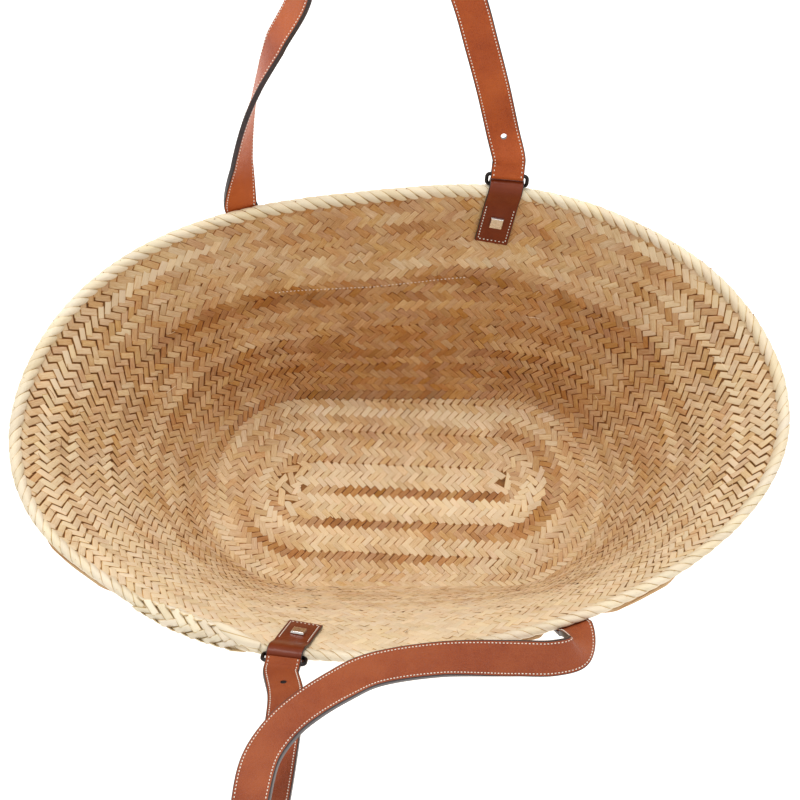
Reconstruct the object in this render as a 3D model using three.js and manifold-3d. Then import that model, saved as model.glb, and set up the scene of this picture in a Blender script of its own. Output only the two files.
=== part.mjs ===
// A woven palm basket tote with two leather handles. Millimetres, +Z up, the floor's middle at the origin.
import * as THREE from 'three';
import { mergeVertices } from 'three/addons/utils/BufferGeometryUtils.js';
import Module from 'manifold-3d';

const wasm = await Module();
wasm.setup();

// Basket
const baseLength = 300;
const baseWidth = 158;
const mouthLength = 500;
const mouthWidth = 315;
const rimHeight = 172;
const wallThickness = 2.4;
const bandCount = 5;
const bandCrown = 0.3;
const bandGrowth = 0.13;
const rollDiameter = 6;

// Leather
const strapWidth = 22;
const strapLength = 610;
const layerThickness = 1.6;
const tabWidth = 22.5;
const tabThickness = 1.8;
const tabLegLength = 45;
const strapFootLength = 48;
const strapLead = 3;
const loopLength = 8;
const loopCloseUp = 5.5;
const loopJoin = 0.5;
const holeDiameter = 4;
const holeDistance = 27;

// Metal
const ringWire = 2.6;
const ringInnerHeight = 5;
const ringCornerRadius = 2.5;
const studSize = 9;
const studTopSize = 7.9;
const studHeight = 1.6;
const studDepth = 26;

// Clearances between pieces that touch
const gap = 0.3;
const legGap = 0.6;
const foldGap = 0.8;
const ringSeatGap = 0.6;
const ringSideGap = 0.9;
const strapRimGap = 0.8;

// Fineness of the meshes
const aroundSteps = 72;
const bandSteps = 4;
const floorSteps = 2;
const rollSides = 8;
const wireSides = 6;
const drillSides = 12;
const ringSteps = 56;
const tabSteps = 36;
const strapSteps = 96;
const loopSteps = 8;
const wallRunSteps = 24;
const fitSteps = 20;
const slopeStep = 0.01;
const weldDistance = 0.001;

// The wall from the floor's edge up to the rim. Front and back: 0 to 1 is a share of the floor's half width,
// 1 to 2 the way on from the floor's outline to the mouth's. Up is a share of the rim's height.
const WALL_ROWS = [
  { row: 'floor edge', front: 0.84, back: 0.84, up: 0 },
  { row: 'heel', front: 0.96, back: 0.96, up: 0.03 },
  { row: 'low wall', front: 1.07, back: 1.09, up: 0.15 },
  { row: 'waist', front: 1.35, back: 1.42, up: 0.46 },
  { row: 'shoulder', front: 1.65, back: 1.71, up: 0.75 },
  { row: 'lip', front: 2, back: 2, up: 1 },
];

// How the mouth leaves a true oval: lobes round the rim, each a share of the mouth's reach, peak in degrees
const MOUTH_WAVES = [
  { lobes: 1, share: 0.045, peak: 108 },
  { lobes: 2, share: 0.036, peak: 42 },
  { lobes: 3, share: 0.006, peak: 22 },
  { lobes: 4, share: 0.011, peak: 58 },
  { lobes: 5, share: 0.008, peak: 61 },
  { lobes: 6, share: 0.005, peak: 8 },
];

// Where the mouth is pressed in a little, at and spread in degrees, share of the mouth's reach
const MOUTH_DENTS = [
  { at: 55, spread: 15, share: -0.019 },
  { at: 93, spread: 16, share: -0.016 },
  { at: 222, spread: 12, share: -0.018 },
];

// How the rim rises and dips, each a share of the rim's height
const RIM_WAVES = [
  { lobes: 2, share: 0.03, peak: 90 },
  { lobes: 3, share: 0.012, peak: 200 },
  { lobes: 5, share: 0.006, peak: 250 },
];

// Each handle's free run, from the ring to the rim at its sewn foot. Along is a share of the way from tab to
// foot, out and rise are shares of the strap's length. The last three columns give the width's direction,
// along, outward and up.
const BACK_RUN = [
  { along: 0.008, out: 0.034, rise: 0.031, widthAlong: -1, widthOut: 0, widthUp: 0 },
  { along: 0.04, out: 0.063, rise: 0.079, widthAlong: -1, widthOut: 0, widthUp: 0 },
  { along: 0.075, out: 0.09, rise: 0.122, widthAlong: -1, widthOut: 0, widthUp: 0 },
  { along: 0.12, out: 0.123, rise: 0.172, widthAlong: -1, widthOut: -0.05, widthUp: 0.05 },
  { along: 0.225, out: 0.171, rise: 0.246, widthAlong: -0.95, widthOut: -0.2, widthUp: 0.15 },
  { along: 0.45, out: 0.231, rise: 0.333, widthAlong: -0.7, widthOut: -0.55, widthUp: 0.45 },
  { along: 0.676, out: 0.186, rise: 0.257, widthAlong: -0.6, widthOut: -0.65, widthUp: 0.5 },
  { along: 0.7, out: 0.142, rise: 0.187, widthAlong: -0.53, widthOut: -0.67, widthUp: 0.52 },
  { along: 0.81, out: 0.113, rise: 0.141, widthAlong: -0.45, widthOut: -0.7, widthUp: 0.55 },
  { along: 0.88, out: 0.089, rise: 0.111, widthAlong: 0, widthOut: -0.79, widthUp: 0.61 },
  { along: 0.93, out: 0.067, rise: 0.085, widthAlong: 0.27, widthOut: -0.76, widthUp: 0.59 },
  { along: 0.98, out: 0.032, rise: 0.043, widthAlong: 0.6, widthOut: -0.63, widthUp: 0.49 },
];
const FRONT_RUN = [
  { along: 0.002, out: 0.039, rise: 0.048, widthAlong: 1, widthOut: 0, widthUp: 0 },
  { along: -0.01, out: 0.069, rise: 0.082, widthAlong: 1, widthOut: 0, widthUp: 0 },
  { along: -0.066, out: 0.148, rise: 0.156, widthAlong: 1, widthOut: 0, widthUp: 0 },
  { along: -0.109, out: 0.194, rise: 0.198, widthAlong: 1, widthOut: 0, widthUp: 0 },
  { along: -0.136, out: 0.219, rise: 0.237, widthAlong: 1, widthOut: 0.05, widthUp: 0.1 },
  { along: -0.142, out: 0.201, rise: 0.255, widthAlong: 0.95, widthOut: 0.25, widthUp: 0.25 },
  { along: -0.109, out: 0.154, rise: 0.241, widthAlong: 0.79, widthOut: 0.41, widthUp: 0.43 },
  { along: -0.069, out: 0.115, rise: 0.215, widthAlong: 0.75, widthOut: 0.5, widthUp: 0.43 },
  { along: 0.004, out: 0.087, rise: 0.192, widthAlong: 0.65, widthOut: 0.62, widthUp: 0.43 },
  { along: 0.08, out: 0.069, rise: 0.172, widthAlong: 0.55, widthOut: 0.72, widthUp: 0.4 },
  { along: 0.184, out: 0.051, rise: 0.147, widthAlong: 0.4, widthOut: 0.82, widthUp: 0.38 },
  { along: 0.29, out: 0.037, rise: 0.123, widthAlong: 0.25, widthOut: 0.9, widthUp: 0.35 },
  { along: 0.513, out: 0.029, rise: 0.088, widthAlong: 0, widthOut: 0.96, widthUp: 0.27 },
  { along: 0.762, out: 0.032, rise: 0.058, widthAlong: 0, widthOut: 0.96, widthUp: -0.28 },
  { along: 0.902, out: 0.035, rise: 0.047, widthAlong: 0.15, widthOut: 0.9, widthUp: -0.35 },
  { along: 0.982, out: 0.03, rise: 0.037, widthAlong: 0.5, widthOut: 0.7, widthUp: -0.5 },
];

// The tab's arch over the ring's low bar: side is a share of its way out beside the roll, lift of its rise
const TAB_ARCH = [
  { side: 1, lift: 0 },
  { side: 0.94, lift: 0.45 },
  { side: 0.62, lift: 0.85 },
  { side: 0, lift: 1 },
];

// Where the tab's legs and the strap's foot are set to the wall, as shares of their lengths from the rim down
const TAB_LEG_SHARES = [0.22, 0.4, 0.6, 0.8, 1];
const STRAP_FOOT_SHARES = [0, 0.2, 0.5, 0.75, 1];

// The least and the most that a handle's run may be stretched to give the strap its length
const REACH_RANGE = { least: 0.4, most: 1.8 };

// Where each handle meets the rim, in degrees round it, and how far its ring leans out from upright
const HANDLES = [
  { name: 'back', tabAt: 75, footAt: 115, ringLean: 38, run: BACK_RUN },
  { name: 'front', tabAt: 253, footAt: 297.5, ringLean: 42, run: FRONT_RUN },
];

const LEATHER = { color: 0xa3512b, roughness: 0.45, metalness: 0 };
const PALM = { color: 0xc99a63, roughness: 0.75, metalness: 0 };
const PALE_PALM = { color: 0xe4d1a4, roughness: 0.7, metalness: 0 };
const DARK_METAL = { color: 0x241d1b, roughness: 0.35, metalness: 0.9 };
const BRIGHT_METAL = { color: 0xd9d4cc, roughness: 0.25, metalness: 1 };

const radians = THREE.MathUtils.degToRad;
const lerp = THREE.MathUtils.lerp;
const clamp = THREE.MathUtils.clamp;
const up = new THREE.Vector3(0, 0, 1);
const floorBend = Math.PI / 3;
const strapThickness = 2 * layerThickness + gap;
const rollRadius = rollDiameter / 2;
const wireRadius = ringWire / 2;

function waveSum(waves, angle) {
  return waves.reduce((sum, w) => sum + w.share * Math.cos(w.lobes * (angle - radians(w.peak))), 0);
}

// The floor is a long oval with straight sides, and share shrinks it towards its middle line. The round ends
// take up the angles from the floor bend to a right angle.
function floorPoint(angle, share) {
  const radius = (baseWidth / 2) * share;
  const straight = (baseLength - baseWidth) / 2;
  const fold = Math.acos(Math.abs(Math.cos(angle)));
  const lean = Math.min(fold / floorBend, 1) * (Math.PI / 2);
  const along = straight * Math.min(Math.abs(Math.cos(angle)) / Math.cos(floorBend), 1);
  const x = Math.sign(Math.cos(angle)) * (along + radius * Math.cos(lean));
  return new THREE.Vector3(x, Math.sign(Math.sin(angle)) * radius * Math.sin(lean), wallThickness / 2);
}

function dentSum(dents, angle) {
  return dents.reduce((sum, dent) => {
    const away = Math.acos(Math.cos(angle - radians(dent.at))) / radians(dent.spread);
    return sum + dent.share * Math.exp(-away * away);
  }, 0);
}

function mouthPoint(angle) {
  const reach = 1 + waveSum(MOUTH_WAVES, angle) + dentSum(MOUTH_DENTS, angle);
  const x = (mouthLength / 2) * reach * Math.cos(angle);
  const y = (mouthWidth / 2) * reach * Math.sin(angle);
  return new THREE.Vector3(x, y, rimHeight * (1 + waveSum(RIM_WAVES, angle)));
}

// One curve carries the front and the back profile side by side, in millimetres
const wallProfile = new THREE.CatmullRomCurve3(WALL_ROWS.map((row) => {
  const across = (share) => (Math.min(share, 1) * baseWidth + Math.max(share - 1, 0) * (mouthWidth - baseWidth)) / 2;
  return new THREE.Vector3(across(row.front), across(row.back), row.up * rimHeight);
}), false, 'centripetal');

// The middle of the wall's thickness: level 0 is the floor's edge, level 1 the middle of the rim roll
function wallMiddle(angle, level) {
  const spot = wallProfile.getPointAt(clamp(level, 0, 1));
  const across = lerp(spot.y, spot.x, (1 - Math.sin(angle)) / 2);
  const out = Math.max(across - baseWidth / 2, 0) / ((mouthWidth - baseWidth) / 2);
  const point = floorPoint(angle, Math.min(across / (baseWidth / 2), 1));
  const mouth = mouthPoint(angle);
  point.z = lerp(wallThickness / 2, mouth.z, spot.z / rimHeight);
  point.x = lerp(point.x, mouth.x, out);
  point.y = lerp(point.y, mouth.y, out);
  return point;
}

// Directions on the wall: round it, down it and out of it
function wallFrame(angle, level) {
  const below = Math.max(level - slopeStep, 0);
  const above = Math.min(level + slopeStep, 1);
  const round = wallMiddle(angle + slopeStep, level).sub(wallMiddle(angle - slopeStep, level)).normalize();
  const down = wallMiddle(angle, below).sub(wallMiddle(angle, above)).normalize();
  const out = down.clone().cross(round).normalize();
  return { round, down, out };
}

function wallPoint(angle, level, offset) {
  return wallMiddle(angle, level).addScaledVector(wallFrame(angle, level).out, offset);
}

function wallRun(angle) {
  let length = 0;
  for (let i = 0; i < wallRunSteps; i += 1) {
    length += wallMiddle(angle, i / wallRunSteps).distanceTo(wallMiddle(angle, (i + 1) / wallRunSteps));
  }
  return length;
}

// A point beside the wall, a given way down from the roll's middle
function besideWall(angle, depth, offset) {
  return wallPoint(angle, 1 - depth / wallRun(angle), offset);
}

function merged(geometry) {
  geometry.deleteAttribute('normal');
  geometry.deleteAttribute('uv');
  const whole = mergeVertices(geometry, weldDistance);
  whole.computeVertexNormals();
  return whole;
}

function piece(name, geometry, look) {
  const mesh = new THREE.Mesh(geometry, new THREE.MeshStandardMaterial(look));
  mesh.name = name;
  return mesh;
}

function solidFrom(geometry) {
  const mesh = new wasm.Mesh({
    numProp: 3,
    vertProperties: new Float32Array(geometry.attributes.position.array),
    triVerts: new Uint32Array(geometry.index.array),
  });
  return new wasm.Manifold(mesh);
}

function geometryFrom(solid) {
  const mesh = solid.getMesh();
  const geometry = new THREE.BufferGeometry();
  geometry.setAttribute('position', new THREE.BufferAttribute(mesh.vertProperties, 3));
  geometry.setIndex(new THREE.BufferAttribute(mesh.triVerts, 1));
  geometry.computeVertexNormals();
  return geometry;
}

// The braid widens on its way up, so the top band is taller than the bottom one
function bandLevel(share) {
  return share * (1 - bandGrowth) + share * share * bandGrowth;
}

// The basket: a flat disc of braid, turned on its axis and then bent up into floor and wall
function basketBody() {
  const wallRows = bandCount * bandSteps;
  const rows = [];
  for (let i = 0; i <= floorSteps; i += 1) rows.push({ floor: i / floorSteps, level: 0, crown: 0 });
  for (let i = 1; i <= wallRows; i += 1) {
    const inBand = (i % bandSteps) / bandSteps;
    rows.push({ floor: 1, level: bandLevel(i / wallRows), crown: bandCrown * 4 * inBand * (1 - inBand) });
  }
  const half = wallThickness / 2;
  const outside = rows.map((row, index) => new THREE.Vector2(index, half));
  const inside = rows.map((row, index) => new THREE.Vector2(index, -half)).reverse();
  const disc = new THREE.LatheGeometry([...outside, ...inside], aroundSteps);
  const faceRows = (side) => rows.map((row) => ({ ...row, side }));
  const profile = [...faceRows(half), ...faceRows(-half).reverse()];
  const position = disc.attributes.position;
  for (let k = 0; k < position.count; k += 1) {
    const angle = (Math.floor(k / profile.length) / aroundSteps) * 2 * Math.PI;
    const row = profile[k % profile.length];
    let spot;
    if (row.level === 0) {
      spot = floorPoint(angle, WALL_ROWS[0].back * row.floor);
      spot.z -= row.side;
    } else {
      const lip = 1 - (rollRadius + gap) / wallRun(angle);
      spot = wallPoint(angle, Math.min(row.level, lip), row.side + Math.sign(row.side) * row.crown);
    }
    position.setXYZ(k, spot.x, spot.y, spot.z);
  }
  return piece('basket_body', merged(disc), PALM);
}

// A closed round rod along a loop: frameAt gives the middle and two directions across it
function closedRod(radius, sides, steps, frameAt) {
  const rod = new THREE.TorusGeometry(1, radius / 2, sides, steps);
  const position = rod.attributes.position;
  for (let k = 0; k < position.count; k += 1) {
    const turn = (Math.floor(k / (steps + 1)) / sides) * 2 * Math.PI;
    const frame = frameAt((k % (steps + 1)) / steps);
    const spot = frame.middle.clone();
    spot.addScaledVector(frame.side, radius * Math.cos(turn));
    spot.addScaledVector(frame.top, radius * Math.sin(turn));
    position.setXYZ(k, spot.x, spot.y, spot.z);
  }
  return merged(rod);
}

function rimRoll() {
  const rod = closedRod(rollRadius, rollSides, aroundSteps, (share) => {
    const angle = share * 2 * Math.PI;
    const { down, out } = wallFrame(angle, 1);
    return { middle: wallMiddle(angle, 1), side: out, top: down.clone().negate() };
  });
  return piece('rim_roll', rod, PALE_PALM);
}

// A flat strip of leather through stations, each with its middle, its width and face directions, and how far
// its two faces lie from the middle
function strip(stations, width) {
  const steps = stations.length - 1;
  const box = new THREE.BoxGeometry(1, 1, 1, 1, 1, steps);
  const position = box.attributes.position;
  for (let k = 0; k < position.count; k += 1) {
    const station = stations[Math.round((position.getZ(k) + 0.5) * steps)];
    const spot = station.middle.clone();
    spot.addScaledVector(station.across, position.getX(k) * width);
    spot.addScaledVector(station.face, position.getY(k) > 0 ? station.high : station.low);
    position.setXYZ(k, spot.x, spot.y, spot.z);
  }
  return merged(box);
}

// Everything that sits at a handle's tab is placed from here
function tabPlace(handle) {
  const angle = radians(handle.tabAt);
  const { round, down, out } = wallFrame(angle, 1);
  const level = new THREE.Vector3(out.x, out.y, 0).normalize();
  level.addScaledVector(round, -level.dot(round)).normalize();
  const lean = radians(handle.ringLean);
  const pull = up.clone().multiplyScalar(Math.cos(lean)).addScaledVector(level, Math.sin(lean));
  pull.addScaledVector(round, -pull.dot(round)).normalize();
  const rimMiddle = wallMiddle(angle, 1);
  const lowBar = rimMiddle.clone().addScaledVector(down, -(rollRadius + ringSeatGap + wireRadius));
  const highBar = lowBar.clone().addScaledVector(pull, ringInnerHeight + ringWire);
  return { angle, round, down, out, pull, rimMiddle, lowBar, highBar };
}

function ring(handle) {
  const { round, pull, lowBar, highBar } = tabPlace(handle);
  const middle = lowBar.clone().lerp(highBar, 0.5);
  const halfWide = tabWidth / 2 + ringSideGap + wireRadius;
  const halfTall = (ringInnerHeight + ringWire) / 2;
  const r = ringCornerRadius;
  const outline = new THREE.Path();
  outline.moveTo(0, -halfTall);
  outline.lineTo(halfWide - r, -halfTall);
  outline.absarc(halfWide - r, r - halfTall, r, -Math.PI / 2, 0);
  outline.lineTo(halfWide, halfTall - r);
  outline.absarc(halfWide - r, halfTall - r, r, 0, Math.PI / 2);
  outline.lineTo(r - halfWide, halfTall);
  outline.absarc(r - halfWide, halfTall - r, r, Math.PI / 2, Math.PI);
  outline.lineTo(-halfWide, r - halfTall);
  outline.absarc(r - halfWide, r - halfTall, r, Math.PI, Math.PI * 1.5);
  outline.lineTo(0, -halfTall);
  const toSpace = (flat) => round.clone().multiplyScalar(flat.x).addScaledVector(pull, flat.y);
  const rod = closedRod(wireRadius, wireSides, ringSteps, (share) => {
    const tangent = toSpace(outline.getTangentAt(share % 1));
    const top = round.clone().cross(pull).normalize();
    return { middle: middle.clone().add(toSpace(outline.getPointAt(share % 1))), side: tangent.cross(top), top };
  });
  return piece(`ring_${handle.name}`, rod, DARK_METAL);
}

// The tab's stations run down from the ring on both sides of the wall
function tabStations(handle) {
  const { angle, round, down, out, rimMiddle } = tabPlace(handle);
  const half = tabThickness / 2;
  const besideRoll = rollRadius + foldGap + half;
  const overBar = rollRadius + ringSeatGap + ringWire + foldGap + half;
  const onLeg = wallThickness / 2 + bandCrown + legGap + half;
  const archPoint = (row, sign) => rimMiddle.clone()
    .addScaledVector(out, sign * row.side * besideRoll)
    .addScaledVector(down, -row.lift * overBar);
  const points = [
    ...TAB_LEG_SHARES.map((share) => besideWall(angle, share * tabLegLength, -onLeg)).reverse(),
    ...TAB_ARCH.map((row) => archPoint(row, -1)),
    ...TAB_ARCH.slice(0, -1).reverse().map((row) => archPoint(row, 1)),
    ...TAB_LEG_SHARES.map((share) => besideWall(angle, share * tabLegLength, onLeg)),
  ];
  const curve = new THREE.CatmullRomCurve3(points, false, 'centripetal');
  return Array.from({ length: tabSteps + 1 }, (unused, i) => {
    const middle = curve.getPointAt(i / tabSteps);
    const along = curve.getTangentAt(i / tabSteps);
    const across = round.clone().addScaledVector(along, -round.dot(along)).normalize();
    return { middle, across, face: along.clone().cross(across).normalize(), low: -half, high: half };
  });
}

function tab(handle) {
  return piece(`tab_${handle.name}`, strip(tabStations(handle), tabWidth), LEATHER);
}

// A square stud head seated on one leg of the tab
function stud(handle, inner) {
  const { angle } = tabPlace(handle);
  const sign = inner ? -1 : 1;
  const seat = wallThickness / 2 + bandCrown + legGap + tabThickness + gap;
  const level = 1 - studDepth / wallRun(angle);
  const { round, down, out } = wallFrame(angle, level);
  const head = new THREE.CylinderGeometry(studTopSize * Math.SQRT1_2, studSize * Math.SQRT1_2, studHeight, 4, 1);
  head.rotateY(Math.PI / 4);
  const face = out.clone().multiplyScalar(sign);
  const turn = new THREE.Matrix4().makeBasis(face.clone().cross(down), face, down);
  head.applyMatrix4(turn);
  const spot = wallPoint(angle, level, sign * (seat + studHeight / 2));
  head.translate(spot.x, spot.y, spot.z);
  return piece(`stud_${handle.name}_${inner ? 'inner' : 'outer'}`, merged(head), BRIGHT_METAL);
}

// The strap's free run, sized so that the whole strap has its length
function strapCurve(handle) {
  const { round, pull, highBar } = tabPlace(handle);
  const footAngle = radians(handle.footAt);
  const half = strapThickness / 2;
  const footOffset = wallThickness / 2 + bandCrown + gap + half;
  const rimOffset = rollRadius + strapRimGap + half;
  const start = [0, strapLead].map((lead) => highBar.clone().addScaledVector(pull, loopLength + lead));
  const end = besideWall(footAngle, 0, rimOffset);
  const lastRise = end.clone().addScaledVector(wallFrame(footAngle, 1).down, -strapLead);
  const chord = end.clone().sub(highBar);
  const outward = new THREE.Vector3(chord.y, -chord.x, 0).normalize();
  if (outward.dot(end) < 0) outward.negate();
  const along = new THREE.Vector3(chord.x, chord.y, 0).normalize();
  const startWidth = round.clone().multiplyScalar(Math.sign(round.dot(along)) * handle.run[0].widthAlong);
  const footWidths = STRAP_FOOT_SHARES.map((share) => {
    const footRound = wallFrame(footAngle, 1 - (share * strapFootLength) / wallRun(footAngle)).round;
    return footRound.multiplyScalar(Math.sign(footRound.dot(along)));
  });
  const toSpace = (a, o, u) => along.clone().multiplyScalar(a).addScaledVector(outward, o).addScaledVector(up, u);
  const build = (reach) => {
    const free = handle.run.map((row) => highBar.clone().addScaledVector(chord, row.along)
      .addScaledVector(outward, row.out * reach).addScaledVector(up, row.rise * reach));
    const foot = STRAP_FOOT_SHARES.map((share) => (
      besideWall(footAngle, share * strapFootLength, share === 0 ? rimOffset : footOffset)));
    return new THREE.CatmullRomCurve3([...start, ...free, lastRise, ...foot], false, 'centripetal');
  };
  let low = REACH_RANGE.least * strapLength;
  let high = REACH_RANGE.most * strapLength;
  for (let i = 0; i < fitSteps; i += 1) {
    const middle = (low + high) / 2;
    if (build(middle).getLength() + loopLength < strapLength) low = middle;
    else high = middle;
  }
  const freeWidths = handle.run.map((row) => toSpace(row.widthAlong, row.widthOut, row.widthUp));
  const widths = [startWidth, startWidth, ...freeWidths, footWidths[0], ...footWidths];
  return { curve: build((low + high) / 2), widths };
}

function strapStations(handle) {
  const { curve, widths } = strapCurve(handle);
  const half = strapThickness / 2;
  const widthCurve = new THREE.CatmullRomCurve3(widths, false, 'centripetal');
  const stations = [];
  for (let i = 0; i <= strapSteps; i += 1) {
    const share = curve.getUtoTmapping(i / strapSteps);
    const along = curve.getTangent(share);
    const place = share * (widths.length - 1);
    const index = Math.min(Math.floor(place), widths.length - 2);
    const across = widths[index].clone().lerp(widths[index + 1], place - index);
    across.addScaledVector(along, -across.dot(along)).normalize();
    const face = along.clone().cross(across).normalize();
    stations.push({ middle: curve.getPoint(share), across, face, low: -half, high: half });
  }
  return stations;
}

// The loop round the ring's high bar: one layer goes round it and back to the strap's end
function loopStations(handle, first) {
  const { round, pull, highBar } = tabPlace(handle);
  const across = round.clone().multiplyScalar(Math.sign(round.dot(first.across)));
  const face = pull.clone().cross(across).normalize();
  const half = layerThickness / 2;
  const radius = wireRadius + gap + half;
  const apart = (layerThickness + gap) / 2;
  const station = (alongPull, offFace, turn) => {
    const middle = highBar.clone().addScaledVector(pull, alongPull).addScaledVector(face, offFace);
    const normal = face.clone().multiplyScalar(Math.cos(turn)).addScaledVector(pull, -Math.sin(turn));
    return { middle, across, face: normal, low: -half, high: half };
  };
  const tail = loopLength + loopJoin;
  const stations = [station(tail, -apart, Math.PI), station(loopCloseUp, -apart, Math.PI)];
  for (let i = 0; i <= loopSteps; i += 1) {
    const turn = Math.PI * (1 - i / loopSteps);
    stations.push(station(-radius * Math.sin(turn), radius * Math.cos(turn), turn));
  }
  stations.push(station(loopCloseUp, apart, 0));
  stations.push(station(tail, apart, 0));
  return stations;
}

function handleStrap(handle) {
  const run = strapStations(handle);
  const loop = strip(loopStations(handle, run[0]), strapWidth);
  const body = solidFrom(strip(run, strapWidth)).add(solidFrom(loop));
  const { highBar } = tabPlace(handle);
  const miss = (station) => Math.abs(station.middle.distanceTo(highBar) - holeDistance);
  const drillAt = run.reduce((best, station) => (miss(station) < miss(best) ? station : best));
  const drillReach = strapThickness + strapWidth / 2;
  const drill = new THREE.CylinderGeometry(holeDiameter / 2, holeDiameter / 2, drillReach, drillSides, 1);
  const lengthways = drillAt.across.clone().cross(drillAt.face);
  drill.applyMatrix4(new THREE.Matrix4().makeBasis(drillAt.across, drillAt.face, lengthways));
  drill.translate(drillAt.middle.x, drillAt.middle.y, drillAt.middle.z);
  const cut = body.subtract(solidFrom(merged(drill)));
  return piece(`handle_${handle.name}`, geometryFrom(cut), LEATHER);
}

const tote = new THREE.Group();
tote.add(basketBody(), rimRoll());
for (const handle of HANDLES) {
  tote.add(tab(handle), ring(handle), stud(handle, true), stud(handle, false), handleStrap(handle));
}

export default tote;
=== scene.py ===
# A woven palm basket tote with two leather handles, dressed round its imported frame. Metres, +Z up.
import math

import bmesh
import bpy
import numpy as np
from bpy.props import FloatProperty, FloatVectorProperty, IntProperty, PointerProperty
from mathutils import Matrix, Vector


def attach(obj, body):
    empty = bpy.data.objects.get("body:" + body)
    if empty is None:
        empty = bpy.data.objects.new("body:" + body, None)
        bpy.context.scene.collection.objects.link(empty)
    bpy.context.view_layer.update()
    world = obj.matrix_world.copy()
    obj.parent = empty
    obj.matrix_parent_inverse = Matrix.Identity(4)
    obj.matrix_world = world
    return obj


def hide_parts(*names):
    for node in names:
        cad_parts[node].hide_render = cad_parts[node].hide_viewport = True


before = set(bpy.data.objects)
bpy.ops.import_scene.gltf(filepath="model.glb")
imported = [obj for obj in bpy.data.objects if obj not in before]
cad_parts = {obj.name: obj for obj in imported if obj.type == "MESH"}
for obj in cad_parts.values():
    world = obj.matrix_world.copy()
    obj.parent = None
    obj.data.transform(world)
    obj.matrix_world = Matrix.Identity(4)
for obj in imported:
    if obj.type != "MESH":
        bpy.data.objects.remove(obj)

bl_info = {
    "name": "Woven palm tote",
    "version": (1, 0, 0),
    "blender": (4, 5, 0),
    "location": "View3D > Sidebar > Tote",
    "description": "Braided palm basket tote with leather handles, built piece by piece",
    "category": "Add Mesh",
}

MM = 0.001

# The wall from the floor's edge up to the rim. Front and back: 0 to 1 is a share of the floor's half width,
# 1 to 2 the way on from the floor's outline to the mouth's. Up is a share of the rim's height.
WALL_ROWS = [
    {"row": "floor edge", "front": 0.84, "back": 0.84, "up": 0},
    {"row": "heel", "front": 0.96, "back": 0.96, "up": 0.03},
    {"row": "low wall", "front": 1.07, "back": 1.09, "up": 0.15},
    {"row": "waist", "front": 1.35, "back": 1.42, "up": 0.46},
    {"row": "shoulder", "front": 1.65, "back": 1.71, "up": 0.75},
    {"row": "lip", "front": 2, "back": 2, "up": 1},
]

# How the mouth leaves a true oval, where it is pressed in, and how the rim rises and dips: lobes round the rim, peak,
# place and spread in degrees, share of the mouth's reach or of the rim's height
MOUTH_WAVES = [
    {"lobes": 1, "share": 0.045, "peak": 108},
    {"lobes": 2, "share": 0.036, "peak": 42},
    {"lobes": 3, "share": 0.006, "peak": 22},
    {"lobes": 4, "share": 0.011, "peak": 58},
    {"lobes": 5, "share": 0.008, "peak": 61},
    {"lobes": 6, "share": 0.005, "peak": 8},
]
MOUTH_DENTS = [
    {"at": 55, "spread": 15, "share": -0.019},
    {"at": 93, "spread": 16, "share": -0.016},
    {"at": 222, "spread": 12, "share": -0.018},
]
RIM_WAVES = [
    {"lobes": 2, "share": 0.03, "peak": 90},
    {"lobes": 3, "share": 0.012, "peak": 200},
    {"lobes": 5, "share": 0.006, "peak": 250},
]

# Each handle's free run, from the ring to the rim at its sewn foot. Along is a share of the way from tab to
# foot, out and rise are shares of the strap's length, and width is the direction across the strap: along,
# outward and up.
BACK_RUN = [
    {"along": 0.008, "out": 0.034, "rise": 0.031, "width": (-1, 0, 0)},
    {"along": 0.04, "out": 0.063, "rise": 0.079, "width": (-1, 0, 0)},
    {"along": 0.075, "out": 0.09, "rise": 0.122, "width": (-1, 0, 0)},
    {"along": 0.12, "out": 0.123, "rise": 0.172, "width": (-1, -0.05, 0.05)},
    {"along": 0.225, "out": 0.171, "rise": 0.246, "width": (-0.95, -0.2, 0.15)},
    {"along": 0.45, "out": 0.231, "rise": 0.333, "width": (-0.7, -0.55, 0.45)},
    {"along": 0.676, "out": 0.186, "rise": 0.257, "width": (-0.6, -0.65, 0.5)},
    {"along": 0.7, "out": 0.142, "rise": 0.187, "width": (-0.53, -0.67, 0.52)},
    {"along": 0.81, "out": 0.113, "rise": 0.141, "width": (-0.45, -0.7, 0.55)},
    {"along": 0.88, "out": 0.089, "rise": 0.111, "width": (0, -0.79, 0.61)},
    {"along": 0.93, "out": 0.067, "rise": 0.085, "width": (0.27, -0.76, 0.59)},
    {"along": 0.98, "out": 0.032, "rise": 0.043, "width": (0.6, -0.63, 0.49)},
]
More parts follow.
